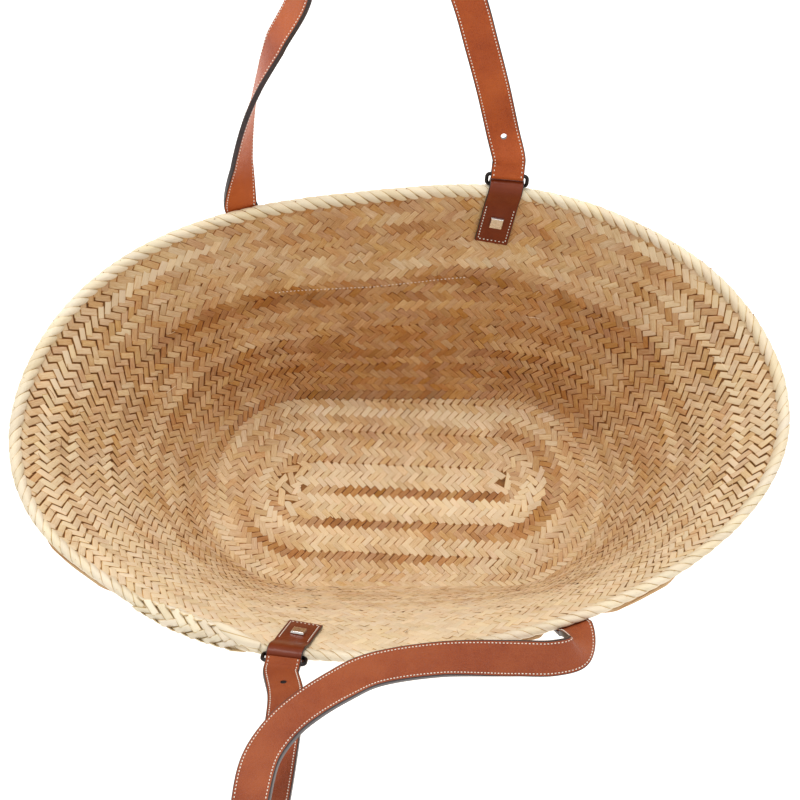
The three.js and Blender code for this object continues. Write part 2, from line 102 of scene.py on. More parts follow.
FRONT_RUN = [
    {"along": 0.002, "out": 0.039, "rise": 0.048, "width": (1, 0, 0)},
    {"along": -0.01, "out": 0.069, "rise": 0.082, "width": (1, 0, 0)},
    {"along": -0.066, "out": 0.148, "rise": 0.156, "width": (1, 0, 0)},
    {"along": -0.109, "out": 0.194, "rise": 0.198, "width": (1, 0, 0)},
    {"along": -0.136, "out": 0.219, "rise": 0.237, "width": (1, 0.05, 0.1)},
    {"along": -0.142, "out": 0.201, "rise": 0.255, "width": (0.95, 0.25, 0.25)},
    {"along": -0.109, "out": 0.154, "rise": 0.241, "width": (0.79, 0.41, 0.43)},
    {"along": -0.069, "out": 0.115, "rise": 0.215, "width": (0.75, 0.5, 0.43)},
    {"along": 0.004, "out": 0.087, "rise": 0.192, "width": (0.65, 0.62, 0.43)},
    {"along": 0.08, "out": 0.069, "rise": 0.172, "width": (0.55, 0.72, 0.4)},
    {"along": 0.184, "out": 0.051, "rise": 0.147, "width": (0.4, 0.82, 0.38)},
    {"along": 0.29, "out": 0.037, "rise": 0.123, "width": (0.25, 0.9, 0.35)},
    {"along": 0.513, "out": 0.029, "rise": 0.088, "width": (0, 0.96, 0.27)},
    {"along": 0.762, "out": 0.032, "rise": 0.058, "width": (0, 0.96, -0.28)},
    {"along": 0.902, "out": 0.035, "rise": 0.047, "width": (0.15, 0.9, -0.35)},
    {"along": 0.982, "out": 0.03, "rise": 0.037, "width": (0.5, 0.7, -0.5)},
]
HANDLES = {
    "back": {"tab_at": 75, "foot_at": 115, "ring_lean": 38, "run": BACK_RUN},
    "front": {"tab_at": 253, "foot_at": 297.5, "ring_lean": 42, "run": FRONT_RUN},
}
TAB_ARCH = [
    {"side": 1, "lift": 0},
    {"side": 0.94, "lift": 0.45},
    {"side": 0.62, "lift": 0.85},
    {"side": 0, "lift": 1},
]
TAB_LEG_SHARES = [0.22, 0.4, 0.6, 0.8, 1]
STRAP_FOOT_SHARES = [0, 0.2, 0.5, 0.75, 1]


class ToteBasket(bpy.types.PropertyGroup):
    base_length: FloatProperty(name="Floor length", description="Length of the oval floor", default=0.3, unit="LENGTH")
    base_width: FloatProperty(name="Floor width", description="Width of the oval floor", default=0.158, unit="LENGTH")
    mouth_length: FloatProperty(name="Mouth length", description="Length of the mouth", default=0.5, unit="LENGTH")
    mouth_width: FloatProperty(name="Mouth width", description="Width of the mouth", default=0.315, unit="LENGTH")
    rim_height: FloatProperty(name="Rim height", description="Height of the rim", default=0.172, unit="LENGTH")
    wall: FloatProperty(name="Wall", description="Thickness between two bands", default=0.0024, unit="LENGTH")
    band_crown: FloatProperty(name="Band crown", description="How far a band rounds out", default=0.0003, unit="LENGTH")
    band_growth: FloatProperty(name="Band growth", description="How much the braid widens upwards", default=0.13)
    bands: IntProperty(name="Bands", description="Bands of braid up the wall", default=5)
    band_rows: IntProperty(name="Rows in a band", description="Rows of strands across one band", default=5)
    roll: FloatProperty(name="Roll", description="Thickness of the rim roll", default=0.006, unit="LENGTH")
    floor_pitch: FloatProperty(name="Floor pitch", description="Strand spacing, floor", default=0.0058, unit="LENGTH")
    low_pitch: FloatProperty(name="Low pitch", description="Strand spacing at the heel", default=0.0055, unit="LENGTH")
    high_pitch: FloatProperty(name="High pitch", description="Strand spacing at the rim", default=0.0064, unit="LENGTH")
    wrap_pitch: FloatProperty(name="Wrap pitch", description="Strand spacing, rim", default=0.0085, unit="LENGTH")
    strand: FloatProperty(name="Strand lift", description="How far a strand stands up", default=0.00045, unit="LENGTH")


class ToteLeather(bpy.types.PropertyGroup):
    strap_width: FloatProperty(name="Strap width", description="Width of a handle", default=0.022, unit="LENGTH")
    strap_length: FloatProperty(name="Strap length", description="Length of a handle", default=0.61, unit="LENGTH")
    layer: FloatProperty(name="Layer", description="Thickness of one leather layer", default=0.0016, unit="LENGTH")
    tab_width: FloatProperty(name="Tab width", description="Width of a tab", default=0.0225, unit="LENGTH")
    tab: FloatProperty(name="Tab thickness", description="Thickness of a tab", default=0.0018, unit="LENGTH")
    tab_leg: FloatProperty(name="Tab leg", description="Length of a tab's leg", default=0.045, unit="LENGTH")
    foot: FloatProperty(name="Strap foot", description="Length of a sewn foot", default=0.048, unit="LENGTH")
    lead: FloatProperty(name="Lead", description="Straight lead at a strap's ends", default=0.003, unit="LENGTH")
    loop: FloatProperty(name="Loop", description="Length of the loop round a ring", default=0.008, unit="LENGTH")
    hole: FloatProperty(name="Hole", description="Diameter of the punched hole", default=0.004, unit="LENGTH")
    hole_at: FloatProperty(name="Hole distance", description="From ring to hole", default=0.027, unit="LENGTH")
    inset: FloatProperty(name="Stitch inset", description="Stitches from the edge", default=0.0019, unit="LENGTH")
    stitch: FloatProperty(name="Stitch spacing", description="From stitch to stitch", default=0.0024, unit="LENGTH")


class ToteMetal(bpy.types.PropertyGroup):
    wire: FloatProperty(name="Ring wire", description="Thickness of a ring's wire", default=0.0026, unit="LENGTH")
    ring_height: FloatProperty(name="Ring height", description="Inside height of a ring", default=0.005, unit="LENGTH")
    ring_corner: FloatProperty(name="Ring corner", description="Radius of its corners", default=0.0025, unit="LENGTH")
    stud: FloatProperty(name="Stud", description="Side of a square stud", default=0.009, unit="LENGTH")
    stud_height: FloatProperty(name="Stud height", description="Height of a stud", default=0.0016, unit="LENGTH")
    stud_depth: FloatProperty(name="Stud depth", description="Stud from the rim", default=0.026, unit="LENGTH")


class ToteColours(bpy.types.PropertyGroup):
    palm_light: FloatVectorProperty(
        name="Light palm", description="Palest strands", subtype="COLOR", size=4, default=(0.76, 0.59, 0.37, 1))
    palm_mid: FloatVectorProperty(
        name="Palm", description="Most strands", subtype="COLOR", size=4, default=(0.58, 0.355, 0.165, 1))
    palm_dark: FloatVectorProperty(
        name="Dark palm", description="Tanned strands", subtype="COLOR", size=4, default=(0.40, 0.18, 0.055, 1))
    # The rim's pale strands: partly their own paler colour, partly painted highlight where the top of the roll catches
    # the light
    selvage: FloatVectorProperty(
        name="Selvage", description="Pale strands of the rim", subtype="COLOR", size=4, default=(0.80, 0.69, 0.50, 1))
    # The tabs' leather is darker than the straps' partly as its own colour and partly as painted shade
    tab: FloatVectorProperty(
        name="Tab leather", description="Face of the tabs", subtype="COLOR", size=4, default=(0.155, 0.024, 0.005, 1))
    leather: FloatVectorProperty(
        name="Leather", description="Face of the straps", subtype="COLOR", size=4, default=(0.39, 0.069, 0.011, 1))
    # The front strap is the same leather as the back one, painted darker as painted shade
    front_leather: FloatVectorProperty(
        name="Front leather", description="Front strap", subtype="COLOR", size=4, default=(0.27, 0.052, 0.013, 1))
    edge_paint: FloatVectorProperty(
        name="Edge paint", description="Painted leather edges", subtype="COLOR", size=4, default=(0.016, 0.010, 0.010, 1))
    thread: FloatVectorProperty(
        name="Thread", description="Stitches", subtype="COLOR", size=4, default=(0.93, 0.87, 0.77, 1))


SETTINGS = {"basket": ToteBasket, "leather": ToteLeather, "metal": ToteMetal, "colours": ToteColours}

# Clearances between pieces that touch
GAP = 0.3 * MM
LEG_GAP = 0.6 * MM
FOLD_GAP = 0.8 * MM
RING_SEAT_GAP = 0.6 * MM
RING_SIDE_GAP = 0.9 * MM
STRAP_RIM_GAP = 0.8 * MM
SLOPE_STEP = 0.01
FLOOR_LIFT = 0.35 * MM
UNDER_LIFT = 0.05 * MM
FLOOR_BEND = math.pi / 3


def sizes(name):
    return getattr(bpy.context.scene, f"tote_{name}")


def unit(vectors):
    vectors = np.asarray(vectors, float)
    return vectors / np.linalg.norm(vectors, axis=-1, keepdims=True)


class SmoothCurve:
    """A centripetal spline through points, read by its spline share or by its share of length."""

    def __init__(self, points, steps=1200):
        self.points = np.asarray(points, float)
        self.shares = np.linspace(0, 1, steps + 1)
        self.places = self.at(self.shares)
        legs = np.linalg.norm(np.diff(self.places, axis=0), axis=1)
        self.lengths = np.concatenate([[0], np.cumsum(legs)])
        self.length = self.lengths[-1]

    def at(self, share):
        pts = self.points
        share = np.atleast_1d(np.asarray(share, float))
        count = len(pts)
        padded = np.vstack([2 * pts[0] - pts[1], pts, 2 * pts[-1] - pts[-2]])
        place = np.clip(share, 0, 1) * (count - 1)
        index = np.minimum(np.floor(place).astype(int), count - 2)
        weight = (place - index)[:, None]
        p0, p1, p2, p3 = (padded[index + k] for k in range(4))

        def knot(a, b):
            return np.sqrt(np.linalg.norm(b - a, axis=1))[:, None]

        d1 = np.maximum(knot(p1, p2), 1e-9)
        d0 = np.where(knot(p0, p1) < 1e-6, d1, knot(p0, p1))
        d2 = np.where(knot(p2, p3) < 1e-6, d1, knot(p2, p3))
        t1 = ((p1 - p0) / d0 - (p2 - p0) / (d0 + d1) + (p2 - p1) / d1) * d1
        t2 = ((p2 - p1) / d1 - (p3 - p1) / (d1 + d2) + (p3 - p2) / d2) * d1
        c2 = -3 * p1 + 3 * p2 - 2 * t1 - t2
        c3 = 2 * p1 - 2 * p2 + t1 + t2
        return p1 + weight * (t1 + weight * (c2 + weight * c3))

    def share_at(self, length_share):
        return np.interp(np.asarray(length_share) * self.length, self.lengths, self.shares)

    def at_length(self, length_share):
        return self.at(self.share_at(length_share))

    def tangent(self, share):
        step = 1e-4
        share = np.atleast_1d(np.asarray(share, float))
        return unit(self.at(np.minimum(share + step, 1)) - self.at(np.maximum(share - step, 0)))


def wave_sum(waves, angle):
    return sum(w["share"] * np.cos(w["lobes"] * (angle - math.radians(w["peak"]))) for w in waves)


def dent_sum(dents, angle):
    total = np.zeros_like(angle)
    for dent in dents:
        away = np.arccos(np.cos(angle - math.radians(dent["at"]))) / math.radians(dent["spread"])
        total = total + dent["share"] * np.exp(-away * away)
    return total


class Wall:
    """The middle surface of the basket's floor and wall, by angle round it and level up it."""

    def __init__(self):
        b = sizes("basket")
        self.b = b
        self.half_floor = b.base_width / 2
        self.straight = (b.base_length - b.base_width) / 2
        spread = (b.mouth_width - b.base_width) / 2
        self.spread = spread

        def across(share):
            return min(share, 1) * self.half_floor + max(share - 1, 0) * spread

        rows = [(across(r["front"]), across(r["back"]), r["up"] * b.rim_height) for r in WALL_ROWS]
        self.profile = SmoothCurve(rows)

    def floor_point(self, angle, share):
        angle = np.asarray(angle, float)
        radius = self.half_floor * share
        fold = np.arccos(np.abs(np.cos(angle)))
        lean = np.minimum(fold / FLOOR_BEND, 1) * (math.pi / 2)
        along = self.straight * np.minimum(np.abs(np.cos(angle)) / math.cos(FLOOR_BEND), 1)
        x = np.sign(np.cos(angle)) * (along + radius * np.cos(lean))
        y = np.sign(np.sin(angle)) * radius * np.sin(lean)
        return np.stack([x, y, np.full_like(x, self.b.wall / 2)], axis=-1)

    def mouth_point(self, angle):
        reach = 1 + wave_sum(MOUTH_WAVES, angle) + dent_sum(MOUTH_DENTS, angle)
        x = (self.b.mouth_length / 2) * reach * np.cos(angle)
        y = (self.b.mouth_width / 2) * reach * np.sin(angle)
        return np.stack([x, y, self.b.rim_height * (1 + wave_sum(RIM_WAVES, angle))], axis=-1)

    def middle(self, angle, level):
        angle, level = np.broadcast_arrays(np.asarray(angle, float), np.asarray(level, float))
        flat = level.reshape(-1)
        spot = self.profile.at_length(np.clip(flat, 0, 1)).reshape(level.shape + (3,))
        across = spot[..., 1] + (spot[..., 0] - spot[..., 1]) * (1 - np.sin(angle)) / 2
        out = (np.maximum(across - self.half_floor, 0) / self.spread)[..., None]
        point = self.floor_point(angle, np.minimum(across / self.half_floor, 1))
        mouth = self.mouth_point(angle)
        place = point + (mouth - point) * out
        low = self.b.wall / 2
        place[..., 2] = low + (mouth[..., 2] - low) * spot[..., 2] / self.b.rim_height
        return place

    def frame(self, angle, level):
        angle, level = np.broadcast_arrays(np.asarray(angle, float), np.asarray(level, float))
        below = np.maximum(level - SLOPE_STEP, 0)
        above = np.minimum(level + SLOPE_STEP, 1)
        round_ = unit(self.middle(angle + SLOPE_STEP, level) - self.middle(angle - SLOPE_STEP, level))
        down = unit(self.middle(angle, below) - self.middle(angle, above))
        return round_, down, unit(np.cross(down, round_))

    def point(self, angle, level, offset):
        return self.middle(angle, level) + self.frame(angle, level)[2] * np.asarray(offset)[..., None]

    def run(self, angle):
        line = self.middle(np.full(49, angle), np.linspace(0, 1, 49))
        return np.linalg.norm(np.diff(line, axis=0), axis=1).sum()

    def beside(self, angle, depth, offset):
        return self.point(angle, 1 - depth / self.run(angle), offset)

    def band_level(self, share):
        growth = self.b.band_growth
        return share * (1 - growth) + share * share * growth


def look(name):
    """A new material with one Principled BSDF, and a short way to add nodes and links."""
    mat = bpy.data.materials.new(name)
    mat.use_nodes = True
    tree = mat.node_tree
    bsdf = tree.nodes["Principled BSDF"]

    def node(kind, inputs=(), **settings):
        made = tree.nodes.new(kind)
        for key, value in settings.items():
            setattr(made, key, value)
        for key, value in dict(inputs).items():
            if isinstance(value, bpy.types.NodeSocket):
                tree.links.new(value, made.inputs[key])
            else:
                made.inputs[key].default_value = value
        return made

    def feed(socket, key):
        tree.links.new(socket, bsdf.inputs[key])

    return mat, node, feed, bsdf


def colour_steps(node, fac, stops):
    ramp = node("ShaderNodeValToRGB", {"Fac": fac})
    marks = ramp.color_ramp.elements
    while len(marks) < len(stops):
        marks.new(0.5)
    for mark, (place, colour) in zip(marks, stops):
        mark.position = place
        mark.color = colour
    return ramp.outputs["Color"]


def group_socket(group, name, kind, side="INPUT", default=None):
    socket = group.interface.new_socket(name=name, in_out=side, socket_type=kind)
    if default is not None:
        socket.default_value = default
    return socket


def strand_grain_group():
    """Lengthwise fibres of a dried strand and the shade along its sides and ends, from its own map."""
    name = "strand_grain"
    if name in bpy.data.node_groups:
        return bpy.data.node_groups[name]
    group = bpy.data.node_groups.new(name, "ShaderNodeTree")
    group_socket(group, "Map", "NodeSocketVector")
    group_socket(group, "Offset", "NodeSocketFloat", default=0.0)
    group_socket(group, "Fineness", "NodeSocketFloat", default=16.0)
    group_socket(group, "Fibre", "NodeSocketFloat", side="OUTPUT")
    group_socket(group, "Side", "NodeSocketFloat", side="OUTPUT")
    group_socket(group, "End", "NodeSocketFloat", side="OUTPUT")
    nodes, links = group.nodes, group.links
    start = nodes.new("NodeGroupInput")
    end = nodes.new("NodeGroupOutput")

    def maths(kind, *values):
        made = nodes.new("ShaderNodeMath")
        made.operation = kind
        for place, value in enumerate(values):
            if isinstance(value, bpy.types.NodeSocket):
                links.new(value, made.inputs[place])
            else:
                made.inputs[place].default_value = value
        return made.outputs[0]

    def step(value, low, high):
        made = nodes.new("ShaderNodeMapRange")
        made.interpolation_type = "SMOOTHSTEP"
        links.new(value, made.inputs["Value"])
        made.inputs["From Min"].default_value = low
        made.inputs["From Max"].default_value = high
        return made.outputs[0]

    parts = nodes.new("ShaderNodeSeparateXYZ")
    links.new(start.outputs["Map"], parts.inputs[0])
    place = nodes.new("ShaderNodeCombineXYZ")
    links.new(parts.outputs["X"], place.inputs["X"])
    links.new(maths("MULTIPLY", parts.outputs["Y"], start.outputs["Fineness"]), place.inputs["Y"])
    links.new(maths("MULTIPLY", start.outputs["Offset"], 37.0), place.inputs["Z"])
    fibres = nodes.new("ShaderNodeTexNoise")
    fibres.inputs["Scale"].default_value = 1.0
    fibres.inputs["Detail"].default_value = 3.0
    fibres.inputs["Roughness"].default_value = 0.65
    links.new(place.outputs[0], fibres.inputs["Vector"])
    rough = nodes.new("ShaderNodeTexNoise")
    rough.inputs["Scale"].default_value = 2.4
    rough.inputs["Detail"].default_value = 1.0
    links.new(place.outputs[0], rough.inputs["Vector"])
    wobble = maths("MULTIPLY_ADD", rough.outputs["Fac"], 0.07, -0.035)
    links.new(fibres.outputs["Fac"], end.inputs["Fibre"])
    links.new(step(maths("ADD", maths("ABSOLUTE", parts.outputs["Y"]), wobble), 0.43, 0.505), end.inputs["Side"])
    links.new(step(maths("ADD", maths("ABSOLUTE", parts.outputs["X"]), wobble), 1.06, 1.24), end.inputs["End"])
    return group


def palm_material(name, stops, roughness):
    """Dried palm strand: tone from the strand, fibres along it, painted shade along its sides and ends where neighbours
    overlap it, and stray dark flecks.
    """
    if name in bpy.data.materials:
        return bpy.data.materials[name]
    mat, node, feed, bsdf = look(name)
    tone = node("ShaderNodeAttribute", attribute_name="tone").outputs["Fac"]
    chance = node("ShaderNodeAttribute", attribute_name="chance").outputs["Fac"]
    uv = node("ShaderNodeUVMap", uv_map="UVMap").outputs["UV"]
    grain = node("ShaderNodeGroup", node_tree=strand_grain_group())
    for socket, key in ((uv, "Map"), (chance, "Offset")):
        mat.node_tree.links.new(socket, grain.inputs[key])
    shade = node("ShaderNodeMapRange", {"Value": grain.outputs["Fibre"], "To Min": -0.34, "To Max": 0.34})
    place = node("ShaderNodeTexCoord").outputs["Object"]
    blotch = node("ShaderNodeTexNoise", {"Vector": place, "Scale": 38.0, "Detail": 2.0})
    patch = node("ShaderNodeMapRange", {"Value": blotch.outputs["Fac"], "To Min": -0.2, "To Max": 0.2})
    first = node("ShaderNodeMath", {0: tone, 1: shade.outputs[0]}, operation="ADD")
    total = node("ShaderNodeMath", {0: first.outputs[0], 1: patch.outputs[0]}, operation="ADD")
    colour = colour_steps(node, total.outputs[0], stops)
    own = node("ShaderNodeTexWhiteNoise", {"W": chance}, noise_dimensions="1D").outputs["Color"]
    own_parts = node("ShaderNodeSeparateColor", {"Color": own})
    hue = node("ShaderNodeMapRange", {"Value": own_parts.outputs[0], "To Min": 0.493, "To Max": 0.505})
    strength = node("ShaderNodeMapRange", {"Value": own_parts.outputs[1], "To Min": 0.9, "To Max": 1.1})
    light = node("ShaderNodeMapRange", {"Value": own_parts.outputs[2], "To Min": 0.93, "To Max": 1.05})
    varied = node("ShaderNodeHueSaturation", {
        "Hue": hue.outputs[0], "Saturation": strength.outputs[0], "Value": light.outputs[0], "Color": colour})
    # Painted shade: the strand's sides and ends are darkened to stand in for the shade where its neighbours overlap it
    sides = node("ShaderNodeMath", {0: grain.outputs["Side"], 1: 2.1, 2: 1.0}, operation="MULTIPLY_ADD")
    ends = node("ShaderNodeMath", {0: grain.outputs["End"], 1: 1.3, 2: sides.outputs[0]}, operation="MULTIPLY_ADD")
    edge_shaded = node("ShaderNodeGamma", {"Color": varied.outputs[0], "Gamma": ends.outputs[0]})
    feed(edge_shaded.outputs[0], "Base Color")
    rough = node("ShaderNodeMapRange", {
        "Value": grain.outputs["Fibre"], "To Min": roughness - 0.12, "To Max": roughness + 0.18})
    feed(rough.outputs[0], "Roughness")
    bump = node("ShaderNodeBump", {"Height": grain.outputs["Fibre"], "Strength": 0.55, "Distance": 0.0006})
    feed(bump.outputs["Normal"], "Normal")
    bsdf.inputs["Specular IOR Level"].default_value = 0.35
    return mat


def braid_material():
    c = sizes("colours")
    mid, dark, light = (np.array(v[:]) for v in (c.palm_mid, c.palm_dark, c.palm_light))
    stops = [
        (0.0, tuple(dark * (0.62, 0.62, 0.62, 1))),
        (0.25, tuple(dark)),
        (0.5, tuple(mid)),
        (0.75, tuple(light)),
        (1.0, tuple(np.minimum(light * (1.1, 1.14, 1.22, 1), 1))),
    ]
    return palm_material("dried_palm", stops, 0.62)


def selvage_material():
    pale = np.array(sizes("colours").selvage[:])
    stops = [
        (0.0, tuple(pale * (0.62, 0.52, 0.40, 1))),
        (0.4, tuple(pale * (0.9, 0.85, 0.75, 1))),
        (0.7, tuple(pale)),
        (1.0, tuple(np.minimum(pale * (1.08, 1.1, 1.15, 1), 1))),
    ]
    return palm_material("pale_palm", stops, 0.55)


def core_material():
    """The inside of the braid, seen only between strands, painted very dark as painted shade."""
    name = "palm_core"
    if name in bpy.data.materials:
        return bpy.data.materials[name]
    mat, node, feed, bsdf = look(name)
    place = node("ShaderNodeTexCoord").outputs["Object"]
    noise = node("ShaderNodeTexNoise", {"Vector": place, "Scale": 260.0, "Detail": 3.0})
    dark = np.array(sizes("colours").palm_dark[:])
    # Painted shade: the core is much darker than any strand
    stops = [(0.3, tuple(dark * (0.3, 0.27, 0.24, 1))), (0.7, tuple(dark * (0.7, 0.66, 0.6, 1)))]
    feed(colour_steps(node, noise.outputs["Fac"], stops), "Base Color")
    bsdf.inputs["Roughness"].default_value = 0.9
    bump = node("ShaderNodeBump", {"Height": noise.outputs["Fac"], "Strength": 0.5, "Distance": 0.0005})
    feed(bump.outputs["Normal"], "Normal")
    return mat


def leather_material(name="cognac_leather", colour="leather", pebble=1.0, rough_low=0.3, rough_high=0.5):
    """Cognac leather: pebbled grain, its tops painted lighter and creases darker as painted highlight and shade, clouds
    of darker red, semi-gloss.
    """
    if name in bpy.data.materials:
        return bpy.data.materials[name]
    mat, node, feed, bsdf = look(name)
    base = np.array(getattr(sizes("colours"), colour)[:])
    place = node("ShaderNodeTexCoord").outputs["Object"]
    clouds = node("ShaderNodeTexNoise", {"Vector": place, "Scale": 24.0, "Detail": 5.0, "Roughness": 0.62})
    pores = node("ShaderNodeTexVoronoi", {"Vector": place, "Scale": 900.0}, feature="DISTANCE_TO_EDGE")
    creases = node("ShaderNodeMapRange", {"Value": pores.outputs["Distance"], "From Max": 0.16})
    wrinkles = node("ShaderNodeTexNoise", {"Vector": place, "Scale": 330.0, "Detail": 4.0, "Distortion": 0.8})
    # Painted highlight and shade on the grain: lighter on the pebbles' tops, darker in the creases between them
    pebble_light_and_shade = node("ShaderNodeMath", {0: creases.outputs[0], 1: 0.16 * pebble}, operation="MULTIPLY")
    mixed = node("ShaderNodeMath", {0: clouds.outputs["Fac"], 1: 0.95, 2: pebble_light_and_shade.outputs[0]}, operation="MULTIPLY_ADD")
    stops = [
        (0.28, tuple(base * (0.66, 0.55, 0.5, 1))),
        (0.5, tuple(base)),
        (0.74, tuple(np.minimum(base * (1.25, 1.5, 1.6, 1), 1))),
    ]
    feed(colour_steps(node, mixed.outputs[0], stops), "Base Color")
    rough = node("ShaderNodeMapRange", {"Value": wrinkles.outputs["Fac"], "To Min": rough_low, "To Max": rough_high})
    feed(rough.outputs[0], "Roughness")
    low = node("ShaderNodeBump", {
        "Height": wrinkles.outputs["Fac"], "Strength": 0.45 * pebble, "Distance": 0.0008})
    high = node("ShaderNodeBump", {
        "Height": creases.outputs[0], "Strength": 0.5 * pebble, "Distance": 0.0004, "Normal": low.outputs["Normal"]})
    feed(high.outputs["Normal"], "Normal")
    bsdf.inputs["Specular IOR Level"].default_value = 0.28
    return mat


def tab_leather_material():
    """The smoother leather of the tabs, darker partly as its own colour and partly as painted shade."""
    mat = leather_material("polished_leather", "tab", 0.35, 0.3, 0.44)
    bsdf = mat.node_tree.nodes["Principled BSDF"]
    bsdf.inputs["Specular IOR Level"].default_value = 0.2
    bsdf.inputs["Coat Weight"].default_value = 0.12
    bsdf.inputs["Coat Roughness"].default_value = 0.22
    return mat


def painted_edge_material():
    name = "black_edge_paint"
    if name in bpy.data.materials:
        return bpy.data.materials[name]
    mat, node, feed, bsdf = look(name)
    place = node("ShaderNodeTexCoord").outputs["Object"]
    noise = node("ShaderNodeTexNoise", {"Vector": place, "Scale": 500.0, "Detail": 2.0})
    base = np.array(sizes("colours").edge_paint[:])
    stops = [(0.3, tuple(base)), (0.7, tuple(base * (2.6, 2.2, 2.0, 1)))]
    feed(colour_steps(node, noise.outputs["Fac"], stops), "Base Color")
    rough = node("ShaderNodeMapRange", {"Value": noise.outputs["Fac"], "To Min": 0.3, "To Max": 0.5})
    feed(rough.outputs[0], "Roughness")
    bump = node("ShaderNodeBump", {"Height": noise.outputs["Fac"], "Strength": 0.2, "Distance": 0.0003})
    feed(bump.outputs["Normal"], "Normal")
    return mat


def thread_material():
    name = "waxed_thread"
    if name in bpy.data.materials:
        return bpy.data.materials[name]
    mat, node, feed, bsdf = look(name)
    uv = node("ShaderNodeUVMap", uv_map="UVMap").outputs["UV"]
    twist = node("ShaderNodeTexWave", {"Vector": uv, "Scale": 1.6, "Distortion": 0.4}, bands_direction="DIAGONAL")
    base = np.array(sizes("colours").thread[:])
    feed(colour_steps(node, twist.outputs["Fac"], [(0, tuple(base * (0.72, 0.68, 0.6, 1))), (0.6, tuple(base))]),
         "Base Color")
    bsdf.inputs["Roughness"].default_value = 0.6
    bump = node("ShaderNodeBump", {"Height": twist.outputs["Fac"], "Strength": 0.3, "Distance": 0.0002})
    feed(bump.outputs["Normal"], "Normal")
    return mat


def metal_material(name, low, high, rough_low, rough_high, scale):
    """Plated metal with a fine brushed grain."""
    if name in bpy.data.materials:
        return bpy.data.materials[name]
    mat, node, feed, bsdf = look(name)
    place = node("ShaderNodeTexCoord").outputs["Object"]
    drawn = node("ShaderNodeMapping", {"Vector": place, "Scale": scale})
    brushed = node("ShaderNodeTexNoise", {"Vector": drawn.outputs[0], "Scale": 1.0, "Detail": 5.0, "Roughness": 0.7})
    feed(colour_steps(node, brushed.outputs["Fac"], [(0.3, low), (0.7, high)]), "Base Color")
    bsdf.inputs["Metallic"].default_value = 1.0
    rough = node("ShaderNodeMapRange", {"Value": brushed.outputs["Fac"], "To Min": rough_low, "To Max": rough_high})
    feed(rough.outputs[0], "Roughness")
    bump = node("ShaderNodeBump", {"Height": brushed.outputs["Fac"], "Strength": 0.12, "Distance": 0.0002})
    feed(bump.outputs["Normal"], "Normal")
    return mat


def dark_metal_material():
    return metal_material("gunmetal", (0.018, 0.015, 0.015, 1), (0.06, 0.052, 0.05, 1), 0.22, 0.42, (900, 900, 900))


def bright_metal_material():
    return metal_material("brushed_steel", (0.62, 0.60, 0.58, 1), (0.9, 0.88, 0.85, 1), 0.16, 0.34, (300, 4000, 1200))


def new_object(name, verts, faces, materials, smooth=True, slots=None, uvs=None):
    """A mesh object at the origin. Slots gives each face's material, uvs a pair for each face corner."""
    mesh = bpy.data.meshes.new(name)
    mesh.from_pydata([tuple(v) for v in verts], [], faces)
    for mat in materials:
        mesh.materials.append(mat)
    if slots is not None:
        mesh.polygons.foreach_set("material_index", np.asarray(slots, np.int32))
    if uvs is not None:
        layer = mesh.uv_layers.new(name="UVMap")
        layer.data.foreach_set("uv", np.asarray(uvs, np.float32).ravel())
    mesh.polygons.foreach_set("use_smooth", np.full(len(mesh.polygons), smooth, bool))
    mesh.validate()
    mesh.update()
    made = bpy.data.objects.new(name, mesh)
    bpy.context.scene.collection.objects.link(made)
    return made


def outward(made):
    """Turns a closed mesh's faces out."""
    bm = bmesh.new()
    bm.from_mesh(made.data)
    bmesh.ops.recalc_face_normals(bm, faces=bm.faces)
    bm.to_mesh(made.data)
    bm.free()
    return made


def settle(made, replaced=()):
    """A finished piece rides on the one body and stands for the nodes it replaces."""
    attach(made, "root")
    if replaced:
        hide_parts(*replaced)
    return made


def guide_cloud(name, places, along, out, size, tone, lean=None):
    """Points that carry the directions, size and tone of what is set on them."""
    mesh = bpy.data.meshes.new(name)
    mesh.from_pydata([tuple(p) for p in places], [], [])
    for key, values in (("along", along), ("out", out), ("size", size)):
        layer = mesh.attributes.new(key, "FLOAT_VECTOR", "POINT")
        layer.data.foreach_set("vector", np.asarray(values, np.float32).ravel())
    for key, values in (("tone", tone), ("lean", np.zeros(len(places)) if lean is None else lean)):
        layer = mesh.attributes.new(key, "FLOAT", "POINT")
        layer.data.foreach_set("value", np.asarray(values, np.float32).ravel())
    made = bpy.data.objects.new(name, mesh)
    bpy.context.scene.collection.objects.link(made)
    return made


